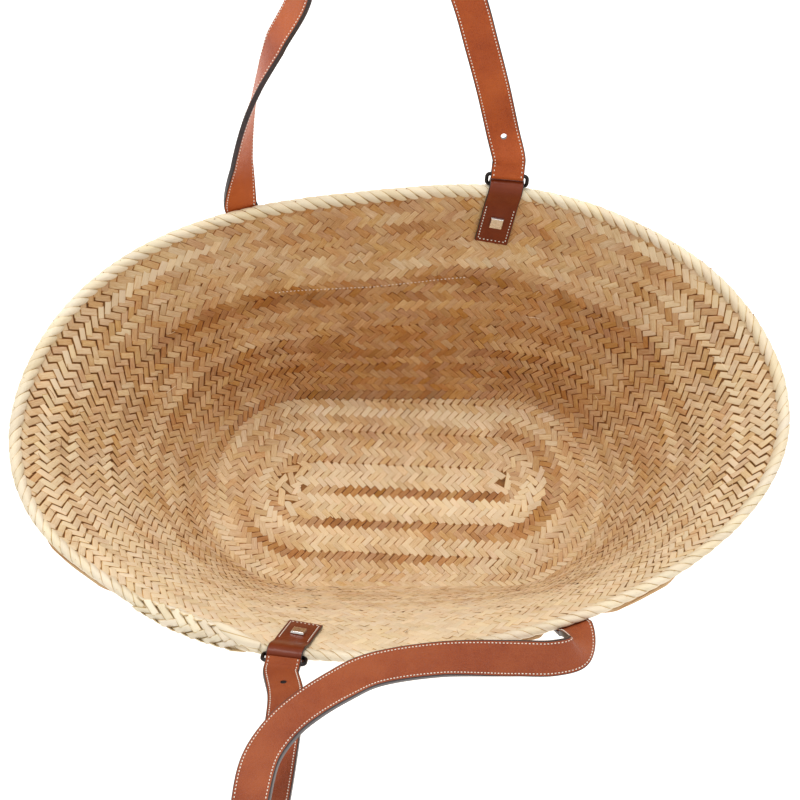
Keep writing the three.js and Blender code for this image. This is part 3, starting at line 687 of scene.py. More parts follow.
def setting_tree():
    """Sets one of two pieces on every guide point, turned to its directions, with small seeded differences."""
    name = "set_along_guide"
    if name in bpy.data.node_groups:
        return bpy.data.node_groups[name]
    tree = bpy.data.node_groups.new(name, "GeometryNodeTree")
    group_socket(tree, "Geometry", "NodeSocketGeometry")
    group_socket(tree, "Right piece", "NodeSocketObject")
    group_socket(tree, "Left piece", "NodeSocketObject")
    group_socket(tree, "Turn spread", "NodeSocketFloat", default=0.04)
    group_socket(tree, "Size spread", "NodeSocketFloat", default=0.05)
    group_socket(tree, "Tone spread", "NodeSocketFloat", default=0.12)
    group_socket(tree, "Seed", "NodeSocketInt", default=1)
    group_socket(tree, "Material", "NodeSocketMaterial")
    group_socket(tree, "Geometry", "NodeSocketGeometry", side="OUTPUT")
    nodes, links = tree.nodes, tree.links
    start = nodes.new("NodeGroupInput")
    end = nodes.new("NodeGroupOutput")

    def named(key, kind):
        made = nodes.new("GeometryNodeInputNamedAttribute")
        made.data_type = kind
        made.inputs["Name"].default_value = key
        return made.outputs["Attribute"]

    def maths(kind, *values):
        made = nodes.new("ShaderNodeMath")
        made.operation = kind
        for place, value in enumerate(values):
            if isinstance(value, bpy.types.NodeSocket):
                links.new(value, made.inputs[place])
            else:
                made.inputs[place].default_value = value
        return made.outputs[0]

    def chance(shift, low, high):
        made = nodes.new("FunctionNodeRandomValue")
        made.data_type = "FLOAT"
        links.new(maths("ADD", start.outputs["Seed"], shift), made.inputs["Seed"])
        for key, value in (("Min", low), ("Max", high)):
            socket = [s for s in made.inputs if s.name == key and s.type == "VALUE"][0]
            if isinstance(value, bpy.types.NodeSocket):
                links.new(value, socket)
            else:
                socket.default_value = value
        return [s for s in made.outputs if s.type == "VALUE"][0]

    axes = nodes.new("FunctionNodeAxesToRotation")
    axes.primary_axis = "X"
    axes.secondary_axis = "Z"
    links.new(named("along", "FLOAT_VECTOR"), axes.inputs["Primary Axis"])
    links.new(named("out", "FLOAT_VECTOR"), axes.inputs["Secondary Axis"])
    spread = start.outputs["Turn spread"]
    angles = nodes.new("ShaderNodeCombineXYZ")
    links.new(maths("MULTIPLY", chance(5, maths("MULTIPLY", spread, -1.0), spread), 0.8), angles.inputs["X"])
    links.new(maths("MULTIPLY", chance(6, maths("MULTIPLY", spread, -1.0), spread), 0.8), angles.inputs["Y"])
    links.new(chance(1, maths("MULTIPLY", spread, -1.0), spread), angles.inputs["Z"])
    turn = nodes.new("FunctionNodeEulerToRotation")
    links.new(angles.outputs[0], turn.inputs[0])
    turned = nodes.new("FunctionNodeRotateRotation")
    turned.rotation_space = "LOCAL"
    links.new(axes.outputs[0], turned.inputs[0])
    links.new(turn.outputs[0], turned.inputs[1])
    less = maths("SUBTRACT", 1.0, start.outputs["Size spread"])
    more = maths("ADD", 1.0, start.outputs["Size spread"])
    scale = nodes.new("ShaderNodeVectorMath")
    scale.operation = "SCALE"
    links.new(named("size", "FLOAT_VECTOR"), scale.inputs[0])
    links.new(chance(2, less, more), scale.inputs["Scale"])
    lean = named("lean", "FLOAT")
    branches = []
    for piece, test in (("Right piece", "LESS_THAN"), ("Left piece", "GREATER_THAN")):
        info = nodes.new("GeometryNodeObjectInfo")
        info.inputs["As Instance"].default_value = True
        links.new(start.outputs[piece], info.inputs["Object"])
        put = nodes.new("GeometryNodeInstanceOnPoints")
        links.new(start.outputs["Geometry"], put.inputs["Points"])
        links.new(maths(test, lean, 0.5), put.inputs["Selection"])
        links.new(info.outputs["Geometry"], put.inputs["Instance"])
        links.new(turned.outputs[0], put.inputs["Rotation"])
        links.new(scale.outputs[0], put.inputs["Scale"])
        branches.append(put.outputs["Instances"])
    both = nodes.new("GeometryNodeJoinGeometry")
    for branch in branches:
        links.new(branch, both.inputs[0])
    tones = start.outputs["Tone spread"]
    toned = nodes.new("GeometryNodeStoreNamedAttribute")
    toned.data_type = "FLOAT"
    toned.domain = "INSTANCE"
    toned.inputs["Name"].default_value = "tone"
    links.new(both.outputs[0], toned.inputs["Geometry"])
    varied = maths("ADD", named("tone", "FLOAT"), chance(3, maths("MULTIPLY", tones, -1.0), tones))
    links.new(varied, [s for s in toned.inputs if s.name == "Value" and s.type == "VALUE"][0])
    marked = nodes.new("GeometryNodeStoreNamedAttribute")
    marked.data_type = "FLOAT"
    marked.domain = "INSTANCE"
    marked.inputs["Name"].default_value = "chance"
    links.new(toned.outputs[0], marked.inputs["Geometry"])
    links.new(chance(4, 0.0, 1.0), [s for s in marked.inputs if s.name == "Value" and s.type == "VALUE"][0])
    real = nodes.new("GeometryNodeRealizeInstances")
    links.new(marked.outputs[0], real.inputs["Geometry"])
    coat = nodes.new("GeometryNodeSetMaterial")
    links.new(real.outputs[0], coat.inputs["Geometry"])
    links.new(start.outputs["Material"], coat.inputs["Material"])
    links.new(coat.outputs[0], end.inputs[0])
    return tree


def set_pieces(name, guide, pieces, material, seed, turn_spread=0.04, size_spread=0.05, tone_spread=0.12):
    """Runs the setting tree on a guide and returns the result as a plain mesh object."""
    tree = setting_tree()
    keys = {item.name: item.identifier for item in tree.interface.items_tree if item.in_out == "INPUT"}
    modifier = guide.modifiers.new("set_pieces", "NODES")
    modifier.node_group = tree
    modifier[keys["Right piece"]] = pieces[0]
    modifier[keys["Left piece"]] = pieces[-1]
    modifier[keys["Turn spread"]] = turn_spread
    modifier[keys["Size spread"]] = size_spread
    modifier[keys["Tone spread"]] = tone_spread
    modifier[keys["Seed"]] = seed
    modifier[keys["Material"]] = material
    bpy.context.view_layer.update()
    graph = bpy.context.evaluated_depsgraph_get()
    mesh = bpy.data.meshes.new_from_object(guide.evaluated_get(graph), preserve_all_data_layers=True,
                                           depsgraph=graph)
    mesh.name = name
    for attribute in [a.name for a in mesh.attributes if a.name in ("along", "out", "size", "lean")]:
        mesh.attributes.remove(mesh.attributes[attribute])
    made = bpy.data.objects.new(name, mesh)
    bpy.context.scene.collection.objects.link(made)
    guide.modifiers.remove(modifier)
    spare = guide.data
    bpy.data.objects.remove(guide)
    bpy.data.meshes.remove(spare)
    return made


def discard(*objects):
    for item in objects:
        spare = item.data
        bpy.data.objects.remove(item)
        bpy.data.meshes.remove(spare)


# One strand's visible length, in pitches along the row, row heights across it and lifts out of it. Share is
# the way along the strand, half the share of its half width, and height the share of its lift.
STRAND_STATIONS = [
    {"share": -1.24, "half": 0.86, "height": 0.12},
    {"share": -1.02, "half": 0.96, "height": 0.78},
    {"share": -0.74, "half": 1, "height": 0.97},
    {"share": 0.0, "half": 1, "height": 0.93},
    {"share": 0.74, "half": 1, "height": 0.97},
    {"share": 1.02, "half": 0.96, "height": 0.78},
    {"share": 1.24, "half": 0.86, "height": 0.12},
]
STRAND_CROWN = [
    {"across": -0.52, "height": 0.34},
    {"across": -0.45, "height": 0.8},
    {"across": -0.2, "height": 1},
    {"across": 0.2, "height": 1},
    {"across": 0.45, "height": 0.8},
    {"across": 0.52, "height": 0.34},
]


def strand_piece(name, leans_left):
    """One over-two float of a strand, pillowed, with its ends dipping under its neighbours."""
    verts, uvs = [], []
    for station in STRAND_STATIONS:
        for column in STRAND_CROWN:
            u = station["share"]
            v = column["across"] * station["half"]
            x, y = (u + v) / 2, (u - v) / 2
            if leans_left:
                y = -y
            verts.append((x, y, station["height"] * column["height"]))
            uvs.append((u, v))
    across = len(STRAND_CROWN)
    faces = []
    for i in range(len(STRAND_STATIONS) - 1):
        for j in range(across - 1):
            a = i * across + j
            quad = (a, a + across, a + across + 1, a + 1)
            faces.append(quad[::-1] if not leans_left else quad)
    corners = [uvs[v] for face in faces for v in face]
    made = new_object(name, verts, faces, [], uvs=corners)
    if made.data.polygons[len(made.data.polygons) // 2].normal.z < 0:
        made.data.flip_normals()
    return made


def smooth_noise(rng, places, length, period=None):
    """Seeded noise along a line: random values a length apart, smoothly joined, closed over a period."""
    count = max(int(round((period or places.max()) / length)), 3)
    knots = rng.uniform(-1, 1, count + 1)
    if period:
        knots[-1] = knots[0]
    x = np.clip(places / (period or places.max()), 0, 1) * count
    index = np.minimum(x.astype(int), count - 1)
    t = x - index
    t = t * t * (3 - 2 * t)
    return knots[index] * (1 - t) + knots[index + 1] * t


# Rows of the wall that stand out, numbered from the floor up: where they start and end in degrees round the
# basket, and how much lighter or darker they are
WALL_ACCENTS = [
    {"row": 22, "start": 120, "end": 250, "tone": 0.24},
    {"row": 21, "start": 150, "end": 240, "tone": 0.12},
    {"row": 23, "start": -50, "end": 60, "tone": 0.16},
    {"row": 20, "start": -60, "end": 50, "tone": 0.2},
    {"row": 15, "start": 180, "end": 330, "tone": 0.14},
    {"row": 18, "start": 200, "end": 320, "tone": 0.12},
    {"row": 10, "start": 200, "end": 300, "tone": 0.12},
    {"row": 18, "start": 30, "end": 140, "tone": 0.14},
    {"row": 17, "start": 30, "end": 140, "tone": 0.08},
    {"row": 12, "start": 50, "end": 140, "tone": 0.1},
    {"row": 20, "start": 40, "end": 150, "tone": -0.1},
    {"row": 21, "start": 30, "end": 120, "tone": -0.06},
    {"row": 15, "start": 30, "end": 150, "tone": -0.14},
    {"row": 14, "start": 30, "end": 150, "tone": -0.1},
]
# Painted light and shade on the wall, lowest row to highest, for back, sides and front: the back's inside, out of the
# light, darker; the sides and front, facing it, paler
BACK_ROW_PAINTED_SHADE = (-0.2, -0.04)
SIDE_ROW_PAINTED_LIGHT = (0.15, 0.12)
FRONT_ROW_PAINTED_LIGHT = (0.26, 0.33)
WALL_TONE = 0.5
BAND_TONE_SPREAD = 0.05
ROW_TONE_SPREAD = 0.11
ROW_TONE_LENGTH = 0.11


def accent_tone(accents, row, degrees_round):
    total = np.zeros_like(degrees_round)
    for accent in accents:
        if accent["row"] != row:
            continue
        middle = (accent["start"] + accent["end"]) / 2
        half = (accent["end"] - accent["start"]) / 2
        away = np.abs((degrees_round - middle + 180) % 360 - 180)
        total += accent["tone"] * np.clip((half - away) / 14 + 0.5, 0, 1)
    return total


def wall_guide(name, side, bands, seed):
    """Guide points for the strand floats of some bands, on the wall's inner side (-1) or outer side (1)."""
    b = sizes("basket")
    wall = Wall()
    rng = np.random.default_rng(seed)
    total_rows = b.bands * b.band_rows
    fine = np.linspace(0, 2 * math.pi, 1441)
    parts = {key: [] for key in ("place", "along", "out", "size", "tone", "lean")}
    for band in bands:
        height = (band + 0.5) / b.bands
        ring = wall.middle(fine, wall.band_level(height))
        lengths = np.concatenate([[0], np.cumsum(np.linalg.norm(np.diff(ring, axis=0), axis=1))])
        pitch = b.low_pitch + (b.high_pitch - b.low_pitch) * band / (b.bands - 1)
        count = int(round(lengths[-1] / pitch))
        band_tone = rng.uniform(-1, 1) * BAND_TONE_SPREAD
        for row in range(b.band_rows):
            number = band * b.band_rows + row
            odd = number % 2
            places = (np.arange(count) + 0.5 * odd + 0.25) * lengths[-1] / count
            angle = np.interp(places % lengths[-1], lengths, fine)
            level = wall.band_level((number + 0.5) / total_rows)
            low = wall.band_level(number / total_rows)
            high = wall.band_level((number + 1) / total_rows)
            in_band = (row + 0.5) / b.band_rows
            crown = b.band_crown * 4 * in_band * (1 - in_band)
            base = b.wall / 2 - 0.45 * MM + crown
            middle = wall.middle(angle, level)
            round_, down, out = wall.frame(angle, level)
            step = np.full(count, math.pi / count)
            along_size = np.linalg.norm(wall.middle(angle + step, level) - wall.middle(angle - step, level), axis=1)
            row_size = np.linalg.norm(wall.middle(angle, high) - wall.middle(angle, low), axis=1)
            parts["place"].append(middle + out * side * base)
            parts["along"].append(round_ * side)
            parts["out"].append(out * side)
            parts["size"].append(np.stack([along_size, row_size, np.full(count, b.strand)], axis=1))
            tone = WALL_TONE + band_tone
            tone = tone + ROW_TONE_SPREAD * smooth_noise(rng, places, ROW_TONE_LENGTH, lengths[-1] * 1.01)
            tone = tone + accent_tone(WALL_ACCENTS, number, np.degrees(angle))
            # Painted shade on the back of the wall and painted light on its sides and front, blended by how far round
            # the strand sits
            up = min(number / (0.55 * total_rows), 1)
            back, sides, front = (
                low + (high - low) * up for low, high in (BACK_ROW_PAINTED_SHADE, SIDE_ROW_PAINTED_LIGHT, FRONT_ROW_PAINTED_LIGHT))
            backness = np.sin(angle)
            tone = tone + sides + (back - sides) * np.maximum(backness, 0) + (front - sides) * np.maximum(-backness, 0)
            parts["tone"].append(tone)
            parts["lean"].append(np.full(count, odd))
    joined_parts = {key: np.concatenate(values) for key, values in parts.items()}
    return guide_cloud(name, *(joined_parts[key] for key in ("place", "along", "out", "size", "tone", "lean")))


# Rows of the coiled strip that stand out on the floor: where they start and end in turns from its middle line
FLOOR_ACCENTS = [
    {"row": 0, "start": 0.04, "end": 0.3, "tone": -0.26},
    {"row": 0, "start": 1.02, "end": 1.5, "tone": -0.3},
    {"row": 1, "start": 1.2, "end": 1.5, "tone": -0.16},
    {"row": 0, "start": 1.92, "end": 2.2, "tone": -0.22},
    {"row": 1, "start": -0.5, "end": 0.4, "tone": 0.14},
    {"row": 2, "start": -0.5, "end": 0.4, "tone": 0.16},
    {"row": 3, "start": -0.7, "end": 0.4, "tone": 0.12},
    {"row": 1, "start": 0.9, "end": 1.15, "tone": 0.12},
    {"row": 2, "start": 1, "end": 1.75, "tone": 0.14},
    {"row": 3, "start": 1, "end": 1.6, "tone": 0.08},
    {"row": 3, "start": 0.4, "end": 0.75, "tone": -0.1},
    {"row": 0, "start": 0.4, "end": 0.8, "tone": -0.08},
]
FLOOR_TONE = 0.6
FLOOR_ROWS = 11
FLOOR_STRIP_ROWS = 4


def coil_point(straight, turn, radius):
    """The point and the facing on a long oval of that radius, a quarter turn for each side and each round end."""
    quarter = (turn % 1) * 4
    part = np.floor(quarter).astype(int) % 4
    rest = quarter - np.floor(quarter)
    arc = rest * math.pi
    along = straight * (2 * rest - 1)
    x = np.choose(part, [along, straight + radius * np.sin(arc), -along, -straight - radius * np.sin(arc)])
    y = np.choose(part, [-radius, -radius * np.cos(arc), radius, radius * np.cos(arc)])
    return np.stack([x, y], axis=1)


def floor_guide(name, side, seed):
    """Guide points for the floor's top (1) or underside (-1): the braid coils out from the middle line."""
    b = sizes("basket")
    wall = Wall()
    rng = np.random.default_rng(seed)
    row_height = wall.half_floor * WALL_ROWS[0]["back"] / FLOOR_ROWS
    limit = FLOOR_ROWS + (0.45 if side > 0 else 0.1)
    fine = np.linspace(-1, FLOOR_ROWS / FLOOR_STRIP_ROWS + 0.25, 4801)
    strip_middle = np.maximum(FLOOR_STRIP_ROWS * (fine + 0.5) * row_height, 0.5 * row_height)
    lengths = np.concatenate([[0], np.cumsum(np.linalg.norm(np.diff(
        coil_point(wall.straight, fine, strip_middle), axis=0), axis=1))])
    pitch = b.floor_pitch
    lift = FLOOR_LIFT if side > 0 else UNDER_LIFT
    parts = {key: [] for key in ("place", "along", "out", "size", "tone", "lean")}
    for row in range(FLOOR_STRIP_ROWS):
        odd = row % 2
        places = np.arange(int(lengths[-1] / pitch)) * pitch + 0.5 * pitch * odd
        turn = np.interp(places, lengths, fine)
        rows_out = FLOOR_STRIP_ROWS * turn + row + 0.5
        middle_line = (row == 1) & (turn >= -0.5) & (turn < -0.25)
        kept = ((rows_out >= 0.5) | middle_line) & (rows_out < limit)
        turn, places, rows_out = turn[kept], places[kept], rows_out[kept]
        radius = rows_out * row_height
        step = np.interp(places + pitch / 2, lengths, fine) - np.interp(places - pitch / 2, lengths, fine)
        ahead = coil_point(wall.straight, turn + step / 2, radius)
        behind = coil_point(wall.straight, turn - step / 2, radius)
        spot = coil_point(wall.straight, turn, radius)
        tangent = unit(ahead - behind)
        count = len(turn)
        along_size = np.clip(np.linalg.norm(ahead - behind, axis=1), 0.7 * pitch, 1.6 * pitch)
        parts["place"].append(np.column_stack([spot, np.full(count, b.wall / 2 + side * lift)]))
        parts["along"].append(np.column_stack([tangent * side, np.zeros(count)]))
        parts["out"].append(np.tile([0, 0, side], (count, 1)))
        parts["size"].append(np.column_stack([along_size, np.full(count, row_height), np.full(count, b.strand)]))
        tone = FLOOR_TONE + ROW_TONE_SPREAD * smooth_noise(rng, places, ROW_TONE_LENGTH)
        for accent in FLOOR_ACCENTS:
            if accent["row"] == row:
                away = np.minimum(turn - accent["start"], accent["end"] - turn)
                tone += accent["tone"] * np.clip(away / 0.03 + 0.5, 0, 1)
        parts["tone"].append(tone)
        parts["lean"].append(np.full(count, odd))
    joined_parts = {key: np.concatenate(values) for key, values in parts.items()}
    return guide_cloud(name, *(joined_parts[key] for key in ("place", "along", "out", "size", "tone", "lean")))


class TOTE_OT_core(bpy.types.Operator):
    """The closed core of the basket, which the braid covers on both sides."""
    bl_idname = "tote.core"
    bl_label = "Basket core"

    def execute(self, context):
        b = sizes("basket")
        wall = Wall()
        around, up_steps, floor_steps = 180, 40, 4
        half = 0.45 * MM
        angles = np.linspace(0, 2 * math.pi, around, endpoint=False)
        rings = []
        for side in (1, -1):
            sheet = []
            for i in range(1, floor_steps + 1):
                ring = wall.floor_point(angles, WALL_ROWS[0]["back"] * i / floor_steps)
                ring[:, 2] -= side * half
                sheet.append(ring)
            for i in range(1, up_steps + 1):
                level = np.full(around, wall.band_level(i / up_steps) * (1 - 0.002))
                sheet.append(wall.point(angles, level, np.full(around, side * half)))
            rings += sheet if side == 1 else sheet[::-1]
        verts = np.concatenate(rings)
        faces = []
        for i in range(len(rings) - 1):
            for j in range(around):
                k = (j + 1) % around
                faces.append((i * around + j, i * around + k, (i + 1) * around + k, (i + 1) * around + j))
        verts = [tuple(v) for v in verts]
        straight = [(-wall.straight, 0.0), (wall.straight, 0.0)]
        for side, ring in ((1, 0), (-1, len(rings) - 1)):
            low = len(verts)
            height = b.wall / 2 - side * half
            middle = [(x, y, height) for x, y in straight]
            verts += middle
            for j in range(around):
                k = (j + 1) % around
                mid_angle = (angles[j] + (angles[k] if k else 2 * math.pi)) / 2
                near = low if math.cos(mid_angle) < 0 else low + 1
                faces.append((near, ring * around + k, ring * around + j))
            quarter = around // 4
            faces.append((low, low + 1, ring * around + quarter))
            faces.append((low, ring * around + 3 * quarter, low + 1))
        made = new_object("basket_core", verts, faces, [core_material()])
        outward(made)
        settle(made, ("basket_body",))
        return {"FINISHED"}


class TOTE_OT_braid(bpy.types.Operator):
    """The herringbone braid on both sides of the wall and of the floor."""
    bl_idname = "tote.braid"
    bl_label = "Palm braid"

    def execute(self, context):
        strands = (strand_piece("strand_right", False), strand_piece("strand_left", True))
        sheets = [
            ("braid_low_wall_inside", wall_guide("guide", -1, range(3), 11), 21),
            ("braid_high_wall_inside", wall_guide("guide", -1, range(3, sizes("basket").bands), 15), 25),
            ("braid_low_wall_outside", wall_guide("guide", 1, range(3), 12), 22),
            ("braid_high_wall_outside", wall_guide("guide", 1, range(3, sizes("basket").bands), 16), 26),
            ("braid_floor_inside", floor_guide("floor_inside_guide", 1, 13), 23),
            ("braid_floor_underside", floor_guide("floor_underside_guide", -1, 14), 24),
        ]
        for name, guide, seed in sheets:
            made = set_pieces(name, guide, strands, braid_material(), seed, turn_spread=0.06, size_spread=0.07,
                              tone_spread=0.08)
            settle(made)
        discard(*strands)
        return {"FINISHED"}


# A rim strand's path over the roll, in roll radii: inward, up, the way along it, its half width in pitches and
# how far it leans along the rim in pitches
WRAP_PATH = [
    {"inward": -0.55, "up": -0.8, "half": 0.5, "lean": 0.95},
    {"inward": -0.97, "up": -0.35, "half": 0.5, "lean": 0.72},
    {"inward": -0.98, "up": 0.25, "half": 0.5, "lean": 0.5},
    {"inward": -0.68, "up": 0.78, "half": 0.5, "lean": 0.28},
    {"inward": -0.1, "up": 1.03, "half": 0.5, "lean": 0.05},
    {"inward": 0.48, "up": 0.9, "half": 0.5, "lean": -0.18},
    {"inward": 0.88, "up": 0.45, "half": 0.5, "lean": -0.4},
    {"inward": 1.0, "up": -0.15, "half": 0.48, "lean": -0.6},
    {"inward": 0.95, "up": -0.8, "half": 0.45, "lean": -0.8},
    {"inward": 0.84, "up": -1.4, "half": 0.38, "lean": -0.98},
    {"inward": 0.62, "up": -1.85, "half": 0.24, "lean": -1.1},
]
WRAP_CROWN = [(-1, -0.09), (-0.86, 0.02), (-0.4, 0.09), (0.2, 0.1), (0.75, 0.02), (1, -0.13)]


def wrap_piece(name):
    """One strand laid aslant over the roll and down the first row inside, in pitches and roll radii."""
    path = np.array([(row["inward"], row["up"]) for row in WRAP_PATH])
    run = np.concatenate([[0], np.cumsum(np.linalg.norm(np.diff(path, axis=0), axis=1))])
    slope = unit(np.gradient(path, axis=0))
    verts, uvs = [], []
    for row, spot, way, along in zip(WRAP_PATH, path, slope, run):
        for across, raised in WRAP_CROWN:
            place = spot + np.array([-way[1], way[0]]) * raised
            verts.append((row["lean"] + across * row["half"] * 1.02, place[0], place[1]))
            uvs.append((2.3 * along / run[-1] - 1.15, across * 0.5))
    width = len(WRAP_CROWN)
    faces = []
    for i in range(len(WRAP_PATH) - 1):
        for j in range(width - 1):
            a = i * width + j
            faces.append((a, a + 1, a + width + 1, a + width))
    corners = [uvs[v] for face in faces for v in face]
    made = new_object(name, verts, faces, [], uvs=corners)
    if made.data.polygons[4 * (width - 1) + 2].normal.z < 0:
        made.data.flip_normals()
    return made


def rod_mesh(name, middles, sides, tops, radii, around, material):
    """A closed rod along a closed line of stations."""
    count = len(middles)
    turns = np.linspace(0, 2 * math.pi, around, endpoint=False)
    radii = np.broadcast_to(np.asarray(radii, float), (count,))
    verts = (middles[:, None] + radii[:, None, None] * (
        sides[:, None] * np.cos(turns)[None, :, None] + tops[:, None] * np.sin(turns)[None, :, None]))
    faces = []
    for i in range(count):
        for j in range(around):
            a, k = (i + 1) % count, (j + 1) % around
            faces.append((i * around + j, i * around + k, a * around + k, a * around + j))
    made = new_object(name, verts.reshape(-1, 3), faces, [material])
    return outward(made)


class TOTE_OT_rim(bpy.types.Operator):
    """The rolled selvage round the mouth: a core rod under aslant pale strands."""
    bl_idname = "tote.rim"
    bl_label = "Rim roll"

    def execute(self, context):
        b = sizes("basket")
        wall = Wall()
        fine = np.linspace(0, 2 * math.pi, 1441)
        line = wall.middle(fine, 1.0)
        lengths = np.concatenate([[0], np.cumsum(np.linalg.norm(np.diff(line, axis=0), axis=1))])
        stations = np.interp(np.arange(300) / 300 * lengths[-1], lengths, fine)
        round_, down, out = wall.frame(stations, 1.0)
        rod = rod_mesh("rim_roll_core", wall.middle(stations, 1.0), out, -down, 0.84 * b.roll / 2, 16,
                       selvage_material())
        tone = rod.data.attributes.new("tone", "FLOAT", "POINT")
        tone.data.foreach_set("value", np.full(len(rod.data.vertices), 0.3, np.float32))
        settle(rod, ("rim_roll",))
        count = int(round(lengths[-1] / b.wrap_pitch))
        places = (np.arange(count) + 0.5) * lengths[-1] / count
        angle = np.interp(places, lengths, fine)
        round_, down, out = wall.frame(angle, 1.0)
        rng = np.random.default_rng(31)
        size = np.column_stack([np.full(count, lengths[-1] / count), np.full(count, b.roll / 2),
                                np.full(count, b.roll / 2)])
        tone = 0.68 + 0.12 * smooth_noise(rng, places, 0.07, lengths[-1] * 1.01)
        guide = guide_cloud("rim_guide", wall.middle(angle, 1.0), round_, -down, size, tone)
        wrap = wrap_piece("rim_wrap")
        made = set_pieces("rim_roll_strands", guide, (wrap,), selvage_material(), 32, turn_spread=0.02,
                          size_spread=0.03, tone_spread=0.1)
        settle(made)
        discard(wrap)
        return {"FINISHED"}


def strap_section(width, low, high, corner, steps=4):
    """The outline of a leather strip's section, anticlockwise: (across, face, is edge)."""
    ring = []
    corners = [(width / 2, high, 90, 0), (width / 2, low, 0, -90), (-width / 2, low, -90, -180),
               (-width / 2, high, 180, 90)]
    inset = sizes("leather").inset
    groove = 0.1 * MM
    flat = [-width / 2 + corner, -width / 2 + inset - 0.55 * MM, -width / 2 + inset, -width / 2 + inset + 0.55 * MM,
            -width / 4, 0, width / 4, width / 2 - inset - 0.55 * MM, width / 2 - inset, width / 2 - inset + 0.55 * MM,
            width / 2 - corner]
    for x, y, start, end in corners:
        cx = x - math.copysign(corner, x)
        cy = y - corner if y == high else y + corner
        for i in range(steps + 1):
            turn = math.radians(start + (end - start) * i / steps)
            ring.append((cx + corner * math.cos(turn), cy + corner * math.sin(turn), True))
        if y == low and x > 0:
            for place in flat[-2:0:-1]:
                sunk = groove if abs(abs(place) - (width / 2 - inset)) < 1e-7 else 0
                ring.append((place, low + sunk, False))
    for place in flat[1:-1]:
        sunk = groove if abs(abs(place) - (width / 2 - inset)) < 1e-7 else 0
        ring.append((place, high - sunk, False))
    return ring


def strip_mesh(name, stations, width, corner, materials, caps=(1, 1)):
    """A leather strip swept through stations of middle, across, face, low and high, with painted edges."""
    rings = []
    for s in stations:
        rings.append([(s["middle"] + s["across"] * x + s["face"] * y) for x, y, edge in
                      strap_section(width, s["low"], s["high"], corner)])
    marks = [edge for x, y, edge in strap_section(width, stations[0]["low"], stations[0]["high"], corner)]
    around = len(marks)
    verts = np.concatenate([np.array(ring) for ring in rings])
    faces, slots = [], []
    for i in range(len(rings) - 1):
        for j in range(around):
            k = (j + 1) % around
            faces.append((i * around + j, i * around + k, (i + 1) * around + k, (i + 1) * around + j))
            slots.append(1 if marks[j] and marks[k] else 0)
    faces.append(tuple(range(around)))
    faces.append(tuple(range((len(rings) - 1) * around, len(rings) * around)))
    slots += caps
    made = new_object(name, verts, faces, materials, slots=slots)
    rims = {edge for cap in made.data.polygons[-2:] for edge in cap.edge_keys}
    for edge in made.data.edges:
        edge.use_edge_sharp = edge.key in rims
    return outward(made)


class Place:
    """Where a handle's tab, ring and strap sit on the rim."""

    def __init__(self, name):
        handle = HANDLES[name]
        b, metal = sizes("basket"), sizes("metal")
        wall = Wall()
        self.wall = wall
        self.handle = handle
        self.angle = math.radians(handle["tab_at"])
        round_, down, out = (v.reshape(3) for v in wall.frame(self.angle, 1.0))
        level = unit(np.array([out[0], out[1], 0]))
        level = unit(level - round_ * level.dot(round_))
        lean = math.radians(handle["ring_lean"])
        pull = np.array([0, 0, math.cos(lean)]) + level * math.sin(lean)
        self.pull = unit(pull - round_ * pull.dot(round_))
        self.round, self.down, self.out = round_, down, out
        self.rim = wall.middle(self.angle, 1.0).reshape(3)
        self.low_bar = self.rim - down * (b.roll / 2 + RING_SEAT_GAP + metal.wire / 2)
        self.high_bar = self.low_bar + self.pull * (metal.ring_height + metal.wire)


def tab_stations(name, steps=90):
    p = Place(name)
    b, leather, metal = sizes("basket"), sizes("leather"), sizes("metal")
    half = leather.tab / 2
    beside_roll = b.roll / 2 + FOLD_GAP + half
    over_bar = b.roll / 2 + RING_SEAT_GAP + metal.wire + FOLD_GAP + half
    on_leg = b.wall / 2 + b.band_crown + LEG_GAP + half

    def arch(row, sign):
        return p.rim + p.out * sign * row["side"] * beside_roll - p.down * row["lift"] * over_bar

    def leg(share, sign):
        return p.wall.beside(p.angle, share * leather.tab_leg, np.array(sign * on_leg)).reshape(3)

    points = [leg(share, -1) for share in TAB_LEG_SHARES[::-1]]
    points += [arch(row, -1) for row in TAB_ARCH]
    points += [arch(row, 1) for row in TAB_ARCH[:-1][::-1]]
    points += [leg(share, 1) for share in TAB_LEG_SHARES]
    curve = SmoothCurve(points)
    shares = curve.share_at(np.linspace(0, 1, steps + 1))
    middles, tangents = curve.at(shares), curve.tangent(shares)
    stations = []
    for middle, along in zip(middles, tangents):
        across = unit(p.round - along * p.round.dot(along))
        face = unit(np.cross(along, across))
        stations.append({"middle": middle, "across": across, "face": face, "low": -half, "high": half})
    return stations


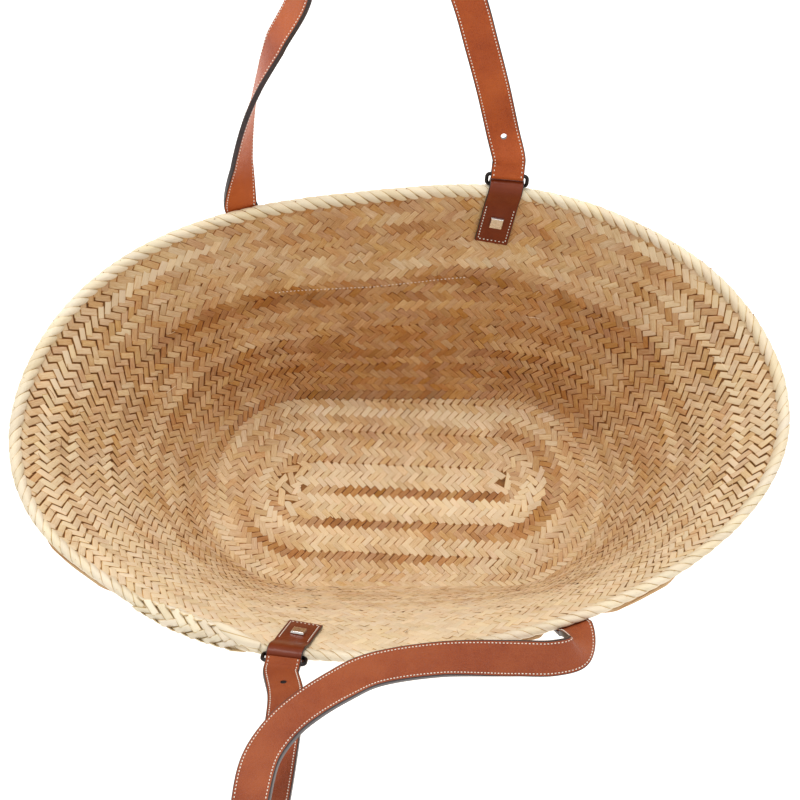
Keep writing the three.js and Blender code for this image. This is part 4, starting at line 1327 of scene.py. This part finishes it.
def strap_curve(name):
    p = Place(name)
    b, leather = sizes("basket"), sizes("leather")
    foot_angle = math.radians(p.handle["foot_at"])
    half = leather.layer + GAP / 2
    foot_offset = b.wall / 2 + b.band_crown + GAP + half
    rim_offset = b.roll / 2 + STRAP_RIM_GAP + half
    start = [p.high_bar + p.pull * (leather.loop + lead) for lead in (0, leather.lead)]
    end = p.wall.beside(foot_angle, 0, np.array(rim_offset)).reshape(3)
    last_rise = end - p.wall.frame(foot_angle, 1.0)[1].reshape(3) * leather.lead
    chord = end - p.high_bar
    outward_ = unit(np.array([chord[1], -chord[0], 0]))
    if outward_.dot(end) < 0:
        outward_ = -outward_
    along = unit(np.array([chord[0], chord[1], 0]))
    run = p.handle["run"]
    start_width = p.round * np.sign(p.round.dot(along)) * run[0]["width"][0]
    run_length = p.wall.run(foot_angle)
    foot_widths = []
    for share in STRAP_FOOT_SHARES:
        foot_round = p.wall.frame(foot_angle, 1 - share * leather.foot / run_length)[0].reshape(3)
        foot_widths.append(foot_round * np.sign(foot_round.dot(along)))
    foot = [p.wall.beside(foot_angle, share * leather.foot, np.array(rim_offset if share == 0 else foot_offset))
            .reshape(3) for share in STRAP_FOOT_SHARES]
    up = np.array([0, 0, 1.0])

    def build(reach):
        free = [p.high_bar + chord * r["along"] + outward_ * r["out"] * reach + up * r["rise"] * reach for r in run]
        return SmoothCurve([*start, *free, last_rise, *foot])

    low, high = 0.4 * leather.strap_length, 1.8 * leather.strap_length
    for _ in range(20):
        middle = (low + high) / 2
        if build(middle).length + leather.loop < leather.strap_length:
            low = middle
        else:
            high = middle
    free_widths = [along * r["width"][0] + outward_ * r["width"][1] + up * r["width"][2] for r in run]
    widths = np.array([start_width, start_width, *free_widths, foot_widths[0], *foot_widths])
    return build((low + high) / 2), widths, p


def strap_stations(name, steps=420):
    curve, widths, p = strap_curve(name)
    half = sizes("leather").layer + GAP / 2
    shares = curve.share_at(np.linspace(0, 1, steps + 1))
    middles, tangents = curve.at(shares), curve.tangent(shares)
    stations = []
    for share, middle, along in zip(shares, middles, tangents):
        place = share * (len(widths) - 1)
        index = min(int(place), len(widths) - 2)
        across = widths[index] + (widths[index + 1] - widths[index]) * (place - index)
        across = unit(across - along * across.dot(along))
        face = unit(np.cross(along, across))
        stations.append({"middle": middle, "across": across, "face": face, "low": -half, "high": half})
    return stations, p


def loop_stations(name, first, p, steps=24):
    leather, metal = sizes("leather"), sizes("metal")
    across = p.round * np.sign(p.round.dot(first["across"]))
    face = unit(np.cross(p.pull, across))
    half = leather.layer / 2
    radius = metal.wire / 2 + GAP + half
    apart = (leather.layer + GAP) / 2

    def station(along_pull, off_face, turn):
        middle = p.high_bar + p.pull * along_pull + face * off_face
        normal = face * math.cos(turn) - p.pull * math.sin(turn)
        return {"middle": middle, "across": across, "face": normal, "low": -half, "high": half}

    tail = leather.loop + 0.5 * MM
    close_up = 5.5 * MM
    stations = [station(tail, -apart, math.pi), station(close_up, -apart, math.pi)]
    for i in range(steps + 1):
        turn = math.pi * (1 - i / steps)
        stations.append(station(-radius * math.sin(turn), radius * math.cos(turn), turn))
    stations += [station(close_up, apart, 0), station(tail, apart, 0)]
    return stations


def joined(name, pieces):
    """Several objects as one mesh, kept in place, with their materials."""
    bm = bmesh.new()
    materials = []
    for piece in pieces:
        shift = []
        for mat in piece.data.materials:
            if mat not in materials:
                materials.append(mat)
            shift.append(materials.index(mat))
        before = len(bm.faces)
        bm.from_mesh(piece.data)
        bm.faces.ensure_lookup_table()
        for face in bm.faces[before:]:
            face.material_index = shift[face.material_index]
    mesh = bpy.data.meshes.new(name)
    bm.to_mesh(mesh)
    bm.free()
    for mat in materials:
        mesh.materials.append(mat)
    made = bpy.data.objects.new(name, mesh)
    bpy.context.scene.collection.objects.link(made)
    discard(*pieces)
    return made


def cut_hole(made, spot, direction, diameter):
    """Punches a round hole through a piece."""
    bm = bmesh.new()
    bmesh.ops.create_cone(bm, cap_ends=True, segments=28, radius1=diameter / 2, radius2=diameter / 2, depth=0.02)
    mesh = bpy.data.meshes.new("punch")
    bm.to_mesh(mesh)
    bm.free()
    punch = bpy.data.objects.new("punch", mesh)
    bpy.context.scene.collection.objects.link(punch)
    turn = Vector(direction).to_track_quat("Z", "Y").to_matrix().to_4x4()
    mesh.transform(Matrix.Translation(Vector(spot)) @ turn)
    mesh.materials.append(made.data.materials[1])
    cutter = made.modifiers.new("punch", "BOOLEAN")
    cutter.operation = "DIFFERENCE"
    cutter.object = punch
    cutter.solver = "EXACT"
    cutter.material_mode = "TRANSFER"
    bpy.context.view_layer.update()
    graph = bpy.context.evaluated_depsgraph_get()
    mesh = bpy.data.meshes.new_from_object(made.evaluated_get(graph), depsgraph=graph)
    made.modifiers.remove(cutter)
    spare = made.data
    made.data = mesh
    bpy.data.meshes.remove(spare)
    discard(punch)


def stitch_piece(name):
    """One stitch: a plump thread that dips into the leather at both ends, one unit long."""
    rings, around = [], 6
    profile = [(-0.5, -0.9, 0.5), (-0.42, 0.0, 0.85), (-0.25, 0.35, 1.0), (0, 0.45, 1.0), (0.25, 0.35, 1.0),
               (0.42, 0.0, 0.85), (0.5, -0.9, 0.5)]
    verts, uvs, faces = [], [], []
    for x, rise, radius in profile:
        for j in range(around):
            turn = 2 * math.pi * j / around
            verts.append((x, radius * math.cos(turn), rise + radius * math.sin(turn)))
            uvs.append((x * 3, j / around * 2))
        rings.append(len(verts) - around)
    for a, b in zip(rings, rings[1:]):
        for j in range(around):
            k = (j + 1) % around
            faces.append((a + j, a + k, b + k, b + j))
    faces.append(tuple(range(around)))
    faces.append(tuple(range(rings[-1], rings[-1] + around)))
    corners = [uvs[v] for face in faces for v in face]
    return outward(new_object(name, verts, faces, [], uvs=corners))


STITCH_SHARE = 0.5
THREAD_RADIUS = 0.33 * MM


def stitch_points(lines, spacing):
    """Places a spacing apart along each line of (points, outs), with their directions."""
    places, along, outs = [], [], []
    for points, normals in lines:
        points, normals = np.asarray(points), np.asarray(normals)
        lengths = np.concatenate([[0], np.cumsum(np.linalg.norm(np.diff(points, axis=0), axis=1))])
        count = max(int(lengths[-1] / spacing), 1)
        at = (np.arange(count) + 0.5) * lengths[-1] / count
        spot = np.column_stack([np.interp(at, lengths, points[:, i]) for i in range(3)])
        ahead = np.column_stack([np.interp(at + spacing / 4, lengths, points[:, i]) for i in range(3)])
        behind = np.column_stack([np.interp(at - spacing / 4, lengths, points[:, i]) for i in range(3)])
        normal = np.column_stack([np.interp(at, lengths, normals[:, i]) for i in range(3)])
        places.append(spot)
        along.append(unit(ahead - behind))
        outs.append(unit(normal))
    return np.concatenate(places), np.concatenate(along), np.concatenate(outs)


def sew(name, lines, seed, spacing=None, radius=THREAD_RADIUS):
    spacing = spacing or sizes("leather").stitch
    places, along, outs = stitch_points(lines, spacing)
    count = len(places)
    size = np.tile([spacing * STITCH_SHARE, radius, radius], (count, 1))
    guide = guide_cloud(f"{name}_guide", places, along, outs, size, np.full(count, 0.5))
    stitch = stitch_piece("stitch")
    made = set_pieces(name, guide, (stitch,), thread_material(), seed, turn_spread=0.05, size_spread=0.04)
    discard(stitch)
    return settle(made)


def edge_lines(stations, width, faces=("low", "high")):
    """The two stitch lines of a strip, on each of the named faces."""
    inset = sizes("leather").inset
    lines = []
    for face in faces:
        for sign in (-1, 1):
            points = [s["middle"] + s["across"] * sign * (width / 2 - inset) + s["face"] * s[face] for s in stations]
            normals = [s["face"] * math.copysign(1, s[face]) for s in stations]
            lines.append((points, normals))
    return lines


def cross_line(station, width, face):
    """A stitch line across a strip at one of its stations."""
    inset = sizes("leather").inset
    ends = [station["middle"] + station["across"] * sign * (width / 2 - inset) + station["face"] * station[face]
            for sign in (-1, 1)]
    normal = station["face"] * math.copysign(1, station[face])
    return ends, [normal, normal]


class TOTE_OT_handles(bpy.types.Operator):
    """The two sewn leather straps with painted edges and a punched hole by the ring."""
    bl_idname = "tote.handles"
    bl_label = "Handles"

    def execute(self, context):
        leather = sizes("leather")
        # The front strap takes a darker copy of the strap leather: painted shade
        faces = {"back": leather_material(), "front": leather_material("russet_leather", "front_leather")}
        for number, name in enumerate(HANDLES):
            materials = [faces[name], painted_edge_material()]
            stations, p = strap_stations(name)
            loop = loop_stations(name, stations[0], p)
            run = strip_mesh("run", stations, leather.strap_width, 0.7 * MM, materials, caps=(0, 1))
            turned = strip_mesh("turned", loop, leather.strap_width, 0.5 * MM, materials, caps=(0, 0))
            made = joined(f"strap_{name}", [run, turned])
            miss = [abs(np.linalg.norm(s["middle"] - p.high_bar) - leather.hole_at) for s in stations[:80]]
            drill = stations[int(np.argmin(miss))]
            cut_hole(made, drill["middle"], drill["face"], leather.hole)
            settle(made, (f"handle_{name}",))
            lines = edge_lines(stations[:-6], leather.strap_width)
            for face in ("high", "low"):
                lines.append(cross_line(stations[-6], leather.strap_width, face))
            lines += edge_lines(loop[:5], leather.strap_width, ("high",))
            lines += edge_lines(loop[-5:], leather.strap_width, ("high",))
            sew(f"strap_{name}_stitches", lines, 41 + number)
        return {"FINISHED"}


class TOTE_OT_tabs(bpy.types.Operator):
    """The leather tabs folded over the rim, stitched along their edges."""
    bl_idname = "tote.tabs"
    bl_label = "Tabs"

    def execute(self, context):
        leather = sizes("leather")
        materials = [tab_leather_material(), painted_edge_material()]
        for number, name in enumerate(HANDLES):
            stations = tab_stations(name)
            made = strip_mesh(f"leather_tab_{name}", stations, leather.tab_width, 0.5 * MM, materials)
            settle(made, (f"tab_{name}",))
            total = len(stations)
            inset_steps = 2
            leg_steps = int(0.3 * total)
            inner = stations[inset_steps:leg_steps]
            outer = stations[total - leg_steps:total - inset_steps]
            lines = []
            for leg in (inner, outer):
                lines += edge_lines(leg, leather.tab_width, faces=("low", "high")[:1] if self.low_is_out(leg) else
                                    ("high",))
            for end in (inner[0], outer[-1]):
                face = "low" if self.low_is_out([end]) else "high"
                lines.append(cross_line(end, leather.tab_width, face))
            sew(f"leather_tab_{name}_stitches", lines, 51 + number)
        return {"FINISHED"}

    @staticmethod
    def low_is_out(leg):
        """Whether a leg's low face looks away from the wall."""
        station = leg[len(leg) // 2]
        spot = station["middle"]
        wall = Wall()
        angles = np.linspace(0, 2 * math.pi, 721)
        line = wall.middle(angles, 0.9)
        nearest = angles[int(np.argmin(np.linalg.norm(line[:, :2] - spot[:2], axis=1)))]
        levels = np.linspace(0.6, 1, 81)
        strip = wall.middle(np.full(81, nearest), levels)
        near = strip[int(np.argmin(np.linalg.norm(strip - spot, axis=1)))]
        return (spot - near).dot(station["face"]) < 0


class TOTE_OT_rings(bpy.types.Operator):
    """The dark metal rings that join tabs and straps."""
    bl_idname = "tote.rings"
    bl_label = "Rings"

    def execute(self, context):
        leather, metal = sizes("leather"), sizes("metal")
        for name in HANDLES:
            p = Place(name)
            middle = (p.low_bar + p.high_bar) / 2
            half_wide = leather.tab_width / 2 + RING_SIDE_GAP + metal.wire / 2
            half_tall = (metal.ring_height + metal.wire) / 2
            r = metal.ring_corner
            flat, steps = [], 10
            for cx, cy, start in ((half_wide - r, r - half_tall, -90), (half_wide - r, half_tall - r, 0),
                                  (r - half_wide, half_tall - r, 90), (r - half_wide, r - half_tall, 180)):
                for i in range(steps + 1):
                    turn = math.radians(start + 90 * i / steps)
                    flat.append((cx + r * math.cos(turn), cy + r * math.sin(turn)))
            flat = np.array(flat)
            ahead, behind = np.roll(flat, -1, axis=0), np.roll(flat, 1, axis=0)
            tangent = unit(ahead - behind)
            side = np.column_stack([tangent[:, 1], -tangent[:, 0]])
            top = unit(np.cross(p.round, p.pull))
            middles = middle + flat[:, :1] * p.round + flat[:, 1:] * p.pull
            sides = side[:, :1] * p.round + side[:, 1:] * p.pull
            made = rod_mesh(f"metal_ring_{name}", middles, sides, np.tile(top, (len(flat), 1)), metal.wire / 2, 14,
                            dark_metal_material())
            settle(made, (f"ring_{name}",))
        return {"FINISHED"}


class TOTE_OT_studs(bpy.types.Operator):
    """The square studs on both legs of each tab."""
    bl_idname = "tote.studs"
    bl_label = "Studs"

    def execute(self, context):
        b, leather, metal = sizes("basket"), sizes("leather"), sizes("metal")
        for name in HANDLES:
            p = Place(name)
            for which, sign in (("inner", -1), ("outer", 1)):
                seat = b.wall / 2 + b.band_crown + LEG_GAP + leather.tab + GAP
                level = 1 - metal.stud_depth / p.wall.run(p.angle)
                round_, down, out = (v.reshape(3) for v in p.wall.frame(p.angle, level))
                face = out * sign
                spot = p.wall.point(p.angle, level, np.array(sign * (seat + metal.stud_height / 2))).reshape(3)
                bm = bmesh.new()
                bmesh.ops.create_cube(bm, size=1)
                bmesh.ops.scale(bm, vec=(metal.stud, metal.stud, metal.stud_height), verts=bm.verts)
                for vert in bm.verts:
                    if vert.co.z > 0:
                        vert.co.x *= 0.9
                        vert.co.y *= 0.9
                bmesh.ops.bevel(bm, geom=bm.edges[:], offset=0.35 * MM, segments=3, affect="EDGES", profile=0.6)
                side = np.cross(down, face)
                basis = Matrix((side, down, face)).transposed().to_4x4()
                basis.translation = Vector(spot)
                bm.transform(basis)
                mesh = bpy.data.meshes.new("stud")
                bm.to_mesh(mesh)
                bm.free()
                mesh.materials.append(bright_metal_material())
                for polygon in mesh.polygons:
                    polygon.use_smooth = polygon.area < 6e-6
                made = bpy.data.objects.new(f"square_stud_{name}_{which}", mesh)
                bpy.context.scene.collection.objects.link(made)
                outward(made)
                settle(made, (f"stud_{name}_{which}",))
        return {"FINISHED"}


# Where the rim's last turn ends beside the front tab, in degrees round the rim: rows of strands round a thick
# oval, by their turn from inward to up, which swells out of the roll, and the bundle that leaves it for the tab
BRAID_END = {"start": 229.0, "end": 246.0, "swell": 0.3, "pitch": 9 * MM}
BRAID_END_ROWS = [(-6, 0), (54, 1), (114, 0), (172, 1)]
BRAID_END_OVAL = {"inward": 2.6 * MM, "up": 0.3 * MM, "wide": 5.6 * MM, "tall": 3.8 * MM, "row": 6.4 * MM}
BUNDLE = [
    {"at": 240.8, "inward": 7.6, "up": -2.2, "radius": 1.6},
    {"at": 242.2, "inward": 8.6, "up": 0.6, "radius": 2.9},
    {"at": 243.8, "inward": 8.2, "up": 2.6, "radius": 3.5},
    {"at": 245.6, "inward": 6.4, "up": 3.6, "radius": 3.6},
    {"at": 247.4, "inward": 4.0, "up": 3.4, "radius": 3.6},
    {"at": 249.0, "inward": 2.2, "up": 2.6, "radius": 3.3},
]
# Stretches of the rim with a second edge of braid outside the roll, in degrees
OUTER_EDGES = [(205, 224), (286.5, 292.8), (302.2, 319)]
SEAM = [(116.25, 0.595), (106, 0.578), (96.5, 0.57), (87, 0.58), (77.75, 0.6)]
FIBRE_COUNT = 110


def rim_frame(wall, angle):
    """Rim places with their way round, inward and up."""
    round_, down, out = wall.frame(angle, 1.0)
    return wall.middle(angle, 1.0), round_, -out, -down


def tapered_rod(name, spots, radii, around, material, tone):
    """A closed rod of three twisted strands through spots, with its own radius at each, and a map of the strands."""
    line = SmoothCurve(spots)
    shares = line.share_at(np.linspace(0, 1, 61))
    middles, tangents = line.at(shares), line.tangent(shares)
    size = np.interp(shares, np.linspace(0, 1, len(radii)), radii)
    side = unit(np.cross(tangents, [0, 0, 1]))
    top = np.cross(side, tangents)
    strand_sides = around // 3
    verts, faces, uvs = [], [], []
    for i, (middle, across, up, radius) in enumerate(zip(middles, side, top, size)):
        for j in range(around):
            turn = 2 * math.pi * j / around + 0.05 * i
            lobed = radius * (0.9 + 0.12 * math.sin(math.pi * (j % strand_sides) / strand_sides))
            verts.append(middle + lobed * (across * math.cos(turn) + up * math.sin(turn)))
    for i in range(len(middles) - 1):
        for j in range(around):
            k = (j + 1) % around
            faces.append((i * around + j, i * around + k, (i + 1) * around + k, (i + 1) * around + j))
            low = (j % strand_sides) / strand_sides - 0.5
            high = low + 1 / strand_sides
            uvs += [(0.03 * m - 0.9, v) for m, v in ((i, low), (i, high), (i + 1, high), (i + 1, low))]
    last = len(verts)
    verts += [middles[0], middles[-1]]
    for j in range(around):
        k = (j + 1) % around
        faces.append((last, k, j))
        faces.append((last + 1, (len(middles) - 1) * around + j, (len(middles) - 1) * around + k))
        uvs += [(0, 0)] * 6
    made = outward(new_object(name, verts, faces, [material], uvs=uvs))
    for key, value in (("tone", tone), ("chance", 0.4)):
        layer = made.data.attributes.new(key, "FLOAT", "POINT")
        layer.data.foreach_set("value", np.full(len(made.data.vertices), value, np.float32))
    return made


def fibre_piece(name):
    """A thin loose fibre, bowed up from the braid, one unit long."""
    around = 5
    spots = [(-0.5, 0, -0.02), (-0.3, 0.03, 0.1), (0, 0.05, 0.16), (0.3, 0.02, 0.2), (0.5, -0.04, 0.22)]
    verts, faces, uvs = [], [], []
    for x, y, z in spots:
        for j in range(around):
            turn = 2 * math.pi * j / around
            thick = 0.018 if abs(x) < 0.45 else 0.008
            verts.append((x, y + thick * math.cos(turn), z + thick * math.sin(turn)))
            uvs.append((x, 0.1))
    for i in range(len(spots) - 1):
        for j in range(around):
            k = (j + 1) % around
            faces.append((i * around + j, i * around + k, (i + 1) * around + k, (i + 1) * around + j))
    faces.append(tuple(range(around)))
    faces.append(tuple(range((len(spots) - 1) * around, len(spots) * around)))
    corners = [uvs[v] for face in faces for v in face]
    return outward(new_object(name, verts, faces, [], uvs=corners))


class TOTE_OT_braid_ends(bpy.types.Operator):
    """Where the braid's turns end: the flat end and bundle by the front tab, and the doubled outer edges."""
    bl_idname = "tote.braid_ends"
    bl_label = "Braid ends"

    def execute(self, context):
        b = sizes("basket")
        wall = Wall()
        rng = np.random.default_rng(61)
        fine = np.radians(np.linspace(BRAID_END["start"], BRAID_END["end"], 200))
        line = wall.middle(fine, 1.0)
        lengths = np.concatenate([[0], np.cumsum(np.linalg.norm(np.diff(line, axis=0), axis=1))])
        count = int(lengths[-1] / BRAID_END["pitch"])
        oval = BRAID_END_OVAL
        parts = {key: [] for key in ("place", "along", "out", "size", "tone", "lean")}
        for degrees_up, lean in BRAID_END_ROWS:
            places = (np.arange(count) + 0.25 + 0.5 * lean) * lengths[-1] / count
            middle, round_, inward, up = rim_frame(wall, np.interp(places, lengths, fine))
            swell = np.clip(places / lengths[-1] / BRAID_END["swell"], 0, 1)[:, None]
            turn = math.radians(degrees_up)
            roll = b.roll / 2
            wide, tall = roll + (oval["wide"] - roll) * swell, roll + (oval["tall"] - roll) * swell
            spot = middle + (inward * oval["inward"] + up * oval["up"]) * swell
            parts["place"].append(spot + inward * wide * math.cos(turn) + up * tall * math.sin(turn))
            parts["along"].append(-round_)
            parts["out"].append(unit(inward * math.cos(turn) / wide + up * math.sin(turn) / tall))
            height = roll * 1.3 + (oval["row"] - roll * 1.3) * swell
            parts["size"].append(np.hstack([np.full((count, 1), BRAID_END["pitch"]), height, 0.26 * height]))
            parts["tone"].append(0.76 + 0.1 * rng.uniform(-1, 1, count))
            parts["lean"].append(np.full(count, lean))
        at = np.radians(np.linspace(BRAID_END["start"] + 3, BRAID_END["end"], 12))
        middle, round_, inward, up = rim_frame(wall, at)
        spots = middle + inward * oval["inward"] * 1.2 + up * oval["up"]
        core = tapered_rod("braid_end_core", spots, [0.2 * oval["tall"], *[0.95 * oval["tall"]] * 4], 15,
                           selvage_material(), 0.5)
        settle(core)
        ends = [np.concatenate(parts[key]) for key in ("place", "along", "out", "size", "tone", "lean")]
        strands = (strand_piece("strand_right", False), strand_piece("strand_left", True))
        guide = guide_cloud("braid_end_guide", *ends)
        made = set_pieces("braid_end", guide, strands, selvage_material(), 62, turn_spread=0.06, tone_spread=0.1)
        settle(made)
        at = np.radians([row["at"] for row in BUNDLE])
        middle, round_, inward, up = rim_frame(wall, at)
        spots = [m + i * row["inward"] * MM + u * row["up"] * MM
                 for m, i, u, row in zip(middle, inward, up, BUNDLE)]
        bundle = tapered_rod("braid_bundle", spots, [row["radius"] * MM for row in BUNDLE], 18, selvage_material(),
                             0.78)
        settle(bundle)
        for number, (first, last) in enumerate(OUTER_EDGES):
            angles = np.radians(np.linspace(first, last, 40))
            middle, round_, inward, up = rim_frame(wall, angles)
            fade = np.clip(np.minimum(np.arange(40), np.arange(40)[::-1]) / 8, 0, 1)[:, None]
            spots = middle - inward * (2.6 + 2.3 * fade) * MM - up * (2.6 - 0.4 * fade) * MM
            edge = tapered_rod(f"outer_edge_{number}", spots, [0.7 * MM, *[1.5 * MM] * 6, 0.7 * MM], 9,
                               braid_material(), 0.55)
            settle(edge)
        discard(*strands)
        return {"FINISHED"}


class TOTE_OT_seam(bpy.types.Operator):
    """A line of fine stitches across the inside of the back wall, and stray fibres of the braid."""
    bl_idname = "tote.seam"
    bl_label = "Seam and fibres"

    def execute(self, context):
        b = sizes("basket")
        wall = Wall()
        angles = np.radians(np.interp(np.linspace(0, 4, 200), range(5), [row[0] for row in SEAM]))
        levels = np.interp(np.linspace(0, 4, 200), range(5), [row[1] for row in SEAM])
        top = b.wall / 2 + b.strand - 0.35 * MM
        spots = wall.point(angles, levels, np.full(200, -top))
        facing = -wall.frame(angles, levels)[2]
        sew("inside_seam", [(spots, facing)], 71, spacing=2.6 * MM, radius=0.3 * MM)
        rng = np.random.default_rng(72)
        angles = rng.uniform(0, 2 * math.pi, FIBRE_COUNT)
        levels = rng.uniform(0.12, 0.99, FIBRE_COUNT)
        round_, down, out = wall.frame(angles, levels)
        spots = wall.point(angles, levels, np.full(FIBRE_COUNT, -top))
        turn = rng.uniform(0, 2 * math.pi, FIBRE_COUNT)[:, None]
        along = round_ * np.cos(turn) + down * np.sin(turn)
        size = np.tile(rng.uniform(4.5, 11, (FIBRE_COUNT, 1)) * MM, (1, 3))
        tone = rng.choice([0.05, 0.35, 0.9], FIBRE_COUNT)
        guide = guide_cloud("fibre_guide", spots, along, -out, size, tone)
        fibre = fibre_piece("fibre")
        made = set_pieces("stray_fibres", guide, (fibre,), braid_material(), 73, turn_spread=0.25)
        settle(made)
        discard(fibre)
        return {"FINISHED"}


CAMERA_TARGET = (-1.82 * MM, 15.97 * MM, 172 * MM)
CAMERA_ELEVATION = 74
CAMERA_DISTANCE = 1.3
CAMERA_LENS = 90.09


class TOTE_OT_stage(bpy.types.Operator):
    """The pale floor, the soft studio light and the camera."""
    bl_idname = "tote.stage"
    bl_label = "Stage"

    def execute(self, context):
        scene = context.scene
        mat, node, feed, bsdf = look("pale_floor")
        bsdf.inputs["Base Color"].default_value = (0.9, 0.9, 0.9, 1)
        bsdf.inputs["Roughness"].default_value = 0.9
        bsdf.inputs["Emission Color"].default_value = (1, 1, 1, 1)
        bsdf.inputs["Emission Strength"].default_value = 0.6
        floor = new_object("floor", [(-6, -6, 0), (6, -6, 0), (6, 6, 0), (-6, 6, 0)], [(0, 1, 2, 3)], [mat])
        world = bpy.data.worlds.new("studio")
        world.use_nodes = True
        sky = world.node_tree.nodes["Background"]
        sky.inputs["Color"].default_value = (1.0, 0.99, 0.98, 1)
        sky.inputs["Strength"].default_value = 0.85
        scene.world = world
        lamps = [
            ("key", (-0.25, 1.25, 1.9), 0.9, 22.0),
            ("fill", (0.8, -0.7, 1.9), 1.4, 6.0),
        ]
        for name, place, size, power in lamps:
            light = bpy.data.lights.new(name, "AREA")
            light.shape = "DISK"
            light.size = size
            light.energy = power
            lamp = bpy.data.objects.new(name, light)
            lamp.location = place
            lamp.rotation_euler = (Vector((0, 0, 0.1)) - Vector(place)).to_track_quat("-Z", "Y").to_euler()
            scene.collection.objects.link(lamp)
        camera = bpy.data.cameras.new("camera")
        camera.lens = CAMERA_LENS
        camera.clip_end = 20
        holder = bpy.data.objects.new("camera", camera)
        lean = math.radians(CAMERA_ELEVATION)
        back = Vector((0, -math.cos(lean), math.sin(lean)))
        holder.location = Vector(CAMERA_TARGET) + back * CAMERA_DISTANCE
        holder.rotation_euler = (math.pi / 2 - lean, 0, 0)
        scene.collection.objects.link(holder)
        scene.camera = holder
        scene.view_settings.view_transform = "Standard"
        return {"FINISHED"}


STEPS = (TOTE_OT_stage, TOTE_OT_core, TOTE_OT_braid, TOTE_OT_rim, TOTE_OT_braid_ends, TOTE_OT_seam,
         TOTE_OT_handles, TOTE_OT_tabs, TOTE_OT_rings, TOTE_OT_studs)


class TOTE_PT_panel(bpy.types.Panel):
    """Lists the tote's pieces in the sidebar."""
    bl_idname = "TOTE_PT_panel"
    bl_label = "Tote"
    bl_space_type = "VIEW_3D"
    bl_region_type = "UI"
    bl_category = "Tote"

    def draw(self, context):
        for step in STEPS:
            self.layout.operator(step.bl_idname)


def register():
    for name, group in SETTINGS.items():
        bpy.utils.register_class(group)
        setattr(bpy.types.Scene, f"tote_{name}", PointerProperty(type=group))
    for item in (*STEPS, TOTE_PT_panel):
        bpy.utils.register_class(item)


def unregister():
    for item in (TOTE_PT_panel, *STEPS[::-1]):
        bpy.utils.unregister_class(item)
    for name, group in SETTINGS.items():
        delattr(bpy.types.Scene, f"tote_{name}")
        bpy.utils.unregister_class(group)


def main():
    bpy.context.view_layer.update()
    register()
    for step in STEPS:
        area, name = step.bl_idname.split(".")
        getattr(getattr(bpy.ops, area), name)()


if __name__ == "__main__":
    main()
